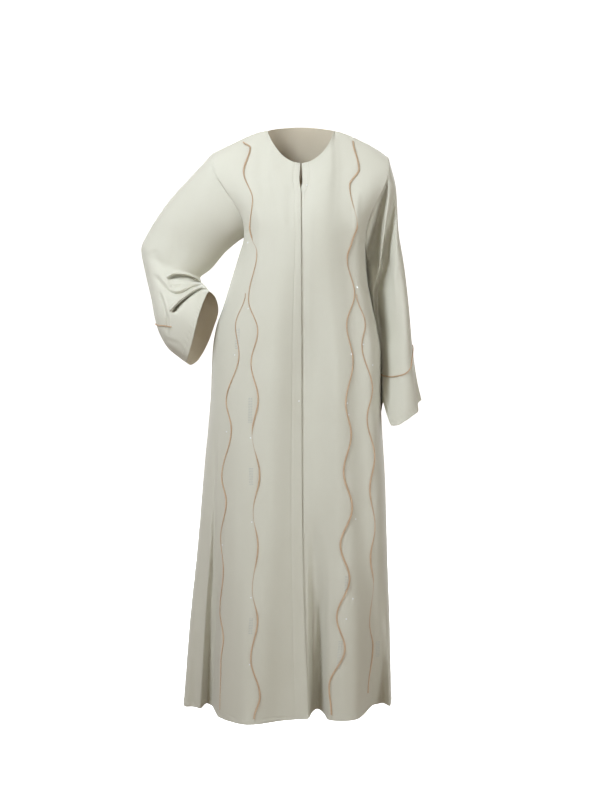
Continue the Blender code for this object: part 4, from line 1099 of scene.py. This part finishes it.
class Finish:
    """A procedural material: a Principled shader and the nodes that feed it."""

    def __init__(self, name, **sockets):
        self.material = bpy.data.materials.new(name)
        self.material.use_nodes = True
        self.nodes = self.material.node_tree.nodes
        self.links = self.material.node_tree.links
        self.shader = self.nodes["Principled BSDF"]
        self.set(self.shader, **sockets)
        self.place = self.nodes.new("ShaderNodeTexCoord").outputs["Object"]

    def set(self, node, **values):
        """Sets or links a node's sockets; an underscore in a name stands for a space."""
        for socket, value in values.items():
            self.plug(node.inputs[socket.replace("_", " ")], value)

    def plug(self, socket, value):
        """Links an output to a socket, or sets the socket to a number or a colour."""
        if isinstance(value, bpy.types.NodeSocket):
            self.links.new(value, socket)
        elif socket.type == "RGBA":
            socket.default_value = (*value, 1.0)
        else:
            socket.default_value = value

    def noise(self, scale, detail=2.0, stretch=(1.0, 1.0, 1.0)):
        """3-D noise in metres, so that it never depends on a seam or an unwrapping."""
        mapping = self.nodes.new("ShaderNodeMapping")
        self.set(mapping, Scale=stretch, Vector=self.place)
        made = self.nodes.new("ShaderNodeTexNoise")
        self.set(made, Scale=scale, Detail=detail, Vector=mapping.outputs["Vector"])
        return made.outputs["Fac"]

    def maths(self, operation, *values):
        made = self.nodes.new("ShaderNodeMath")
        made.operation = operation
        for socket, value in zip(made.inputs, values):
            self.plug(socket, value)
        return made.outputs["Value"]

    def colour(self, share, pale, deep):
        """Blends the surface's colour from pale to deep."""
        made = self.nodes.new("ShaderNodeMix")
        made.data_type = "RGBA"
        self.plug(made.inputs["Factor"], share)
        self.plug(made.inputs[MIX_FIRST], pale)
        self.plug(made.inputs[MIX_SECOND], deep)
        self.set(self.shader, Base_Color=made.outputs[MIX_RESULT])

    def roughness(self, share, low, high):
        self.set(self.shader, Roughness=self.maths("MULTIPLY_ADD", share, high - low, low))

    def bump(self, height, distance, strength=1.0):
        made = self.nodes.new("ShaderNodeBump")
        self.set(made, Strength=strength, Distance=distance, Height=height)
        self.set(self.shader, Normal=made.outputs["Normal"])


def crepe(name, pale, deep):
    """Matte crepe: pebbled yarns, faint upright slubs and a slow drift of its colour."""
    finish = Finish(name, Roughness=0.86, Sheen_Weight=0.22, Sheen_Roughness=0.55,
                    Specular_IOR_Level=0.25)
    pebbles = finish.noise(scale=1500.0)
    slubs = finish.noise(scale=900.0, stretch=(1.0, 1.0, 0.06))
    drift = finish.noise(scale=7.0, detail=3.0)
    yarns = finish.maths("ADD", pebbles, slubs)
    share = finish.maths("MULTIPLY_ADD", yarns, 0.35, drift)
    finish.colour(finish.maths("MULTIPLY", share, 0.75), pale, deep)
    finish.roughness(pebbles, low=0.78, high=0.94)
    finish.bump(yarns, distance=0.00022)
    return finish.material


def twisted_thread(name, pale, deep, metallic):
    """Copper-coloured rayon and metal thread: fine fibres along it, glints and dull places."""
    finish = Finish(name, Roughness=0.4, Metallic=metallic, Sheen_Weight=0.15,
                    Specular_IOR_Level=0.5)
    fibres = finish.noise(scale=2600.0, detail=3.0)
    patches = finish.noise(scale=110.0)
    uneven = finish.maths("ADD", fibres, patches)
    finish.colour(finish.maths("MULTIPLY", uneven, 0.6), pale, deep)
    finish.roughness(fibres, low=0.28, high=0.62)
    finish.bump(fibres, distance=0.0003)
    return finish.material


def glassy(name, pale, deep, roughness, metallic):
    """Cut glass and seed beads: bright, a little uneven."""
    finish = Finish(name, Roughness=roughness, Metallic=metallic, Coat_Weight=1.0,
                    Coat_Roughness=0.05, IOR=1.6)
    clouds = finish.noise(scale=700.0)
    finish.colour(clouds, pale, deep)
    finish.roughness(clouds, low=roughness, high=roughness + 0.12)
    finish.bump(clouds, distance=0.0001, strength=0.4)
    return finish.material


def studio_paper(name):
    """Seamless white paper with a faint tooth."""
    finish = Finish(name, Roughness=0.95, Specular_IOR_Level=0.1, Emission_Color=(1.0, 1.0, 1.0),
                    Emission_Strength=BACKDROP_GLOW)
    tooth = finish.noise(scale=400.0)
    finish.colour(tooth, BACKDROP_WHITE, tuple(BACKDROP_TOOTH * part for part in BACKDROP_WHITE))
    finish.bump(tooth, distance=0.0002, strength=0.3)
    return finish.material


# ---- the studio -----------------------------------------------------------------------
def add_object(name, data, place):
    made = bpy.data.objects.new(name, data)
    made.location = place
    bpy.context.scene.collection.objects.link(made)
    return made


def add_camera():
    data = bpy.data.cameras.new("camera")
    data.sensor_width = CAMERA_SENSOR
    data.lens = CAMERA_LENS
    made = add_object("camera", data, CAMERA_PLACE)
    made.rotation_euler = (math.radians(90.0 - CAMERA_DOWN), 0.0, 0.0)
    bpy.context.scene.camera = made


def add_paper(name, points, finish, mirrored):
    """Paper that the camera sees and that lights nothing; gloss shows it if it is mirrored."""
    made = add_mesh(name, points, quads(*points.shape[:2], closed=False), [finish])
    made.visible_diffuse = False
    made.visible_glossy = mirrored
    made.visible_shadow = False


def add_backdrop(finish):
    """Pale floor that curves up behind the object into a wall, with no edge in sight."""
    reach = BACKDROP_REACH
    arc = np.radians(np.linspace(0.0, 90.0, BACKDROP_ARC))
    side_on = [(reach["front"], FLOOR_Z)]
    side_on += [(reach["back"] - reach["curve"] * (1.0 - math.sin(angle)),
                 FLOOR_Z + reach["curve"] * (1.0 - math.cos(angle))) for angle in arc]
    side_on.append((reach["back"], reach["top"]))
    y, z = np.array(side_on).T
    x = np.array([[-reach["width"]], [reach["width"]]])
    add_paper("backdrop", stack(x, y, z), finish, mirrored=True)


def add_surround(finish):
    """Round wall that stands on the floor, behind the object from its other sides."""
    turns = np.linspace(0.0, 2.0 * math.pi, SURROUND_SIDES + 1)
    z = np.array([[FLOOR_Z], [BACKDROP_REACH["top"]]])
    x, y = SURROUND_RADIUS * np.cos(turns), SURROUND_RADIUS * np.sin(turns)
    add_paper("surround", stack(x, y, z), finish, mirrored=False)


def add_lights():
    for lamp in LIGHTS:
        data = bpy.data.lights.new(lamp["name"], "AREA")
        data.shape = "DISK"
        data.size = lamp["size"]
        data.energy = lamp["power"]
        data.color = (lamp["red"], lamp["green"], lamp["blue"])
        made = add_object(lamp["name"], data, (lamp["x"], lamp["y"], lamp["z"]))
        aim = Vector((0.0, 0.0, lamp["aim_z"])) - made.location
        made.rotation_euler = aim.to_track_quat("-Z", "Y").to_euler()
        made.visible_camera = False


def light_the_world():
    world = bpy.data.worlds.new("studio")
    world.use_nodes = True
    background = world.node_tree.nodes["Background"]
    background.inputs["Color"].default_value = (*WORLD_COLOUR, 1.0)
    background.inputs["Strength"].default_value = WORLD_STRENGTH
    bpy.context.scene.world = world
    bpy.context.scene.view_settings.view_transform = "Standard"


# ---- putting it together --------------------------------------------------------------
def main():
    cloth = crepe("crepe", **CLOTH)
    # the inside face: crepe painted warmer and paler, as warm bounce light in the garment's shade
    inside_painted_warm_light = crepe("crepe_inside_painted_warm_light", **INSIDE_PAINTED_WARM_LIGHT)
    copper = twisted_thread("copper_thread", **COPPER, metallic=0.35)
    thread = twisted_thread("sewing_thread", **CLOTH, metallic=0.0)
    crystal = glassy("crystal", **CRYSTAL, roughness=0.26, metallic=0.85)
    seed_bead = glassy("seed_bead", **SEED_BEAD, roughness=0.12, metallic=0.1)
    for piece, flat, area in SHEETS:
        closed = kind_of(piece) == "sleeve"
        places = sleeve_grid(piece) if closed else panel_grid(piece)
        shell = add_shell(piece, *places, closed, [cloth, inside_painted_warm_light])
        sewn_on = [add_stitches(piece, thread)]
        if kind_of(piece) == "front":
            sewn_on += [add_bead_rows(piece, seed_bead), add_crystals(piece, crystal)]
        sewn_on += [add_cord(cord["name"], cord_path(cord), copper)
                    for cord in CORDS + CUFF_CORDS if cord["piece"] == piece]
    paper = studio_paper("studio_paper")
    add_backdrop(paper)
    add_surround(paper)
    add_lights()
    light_the_world()
    add_camera()


main()
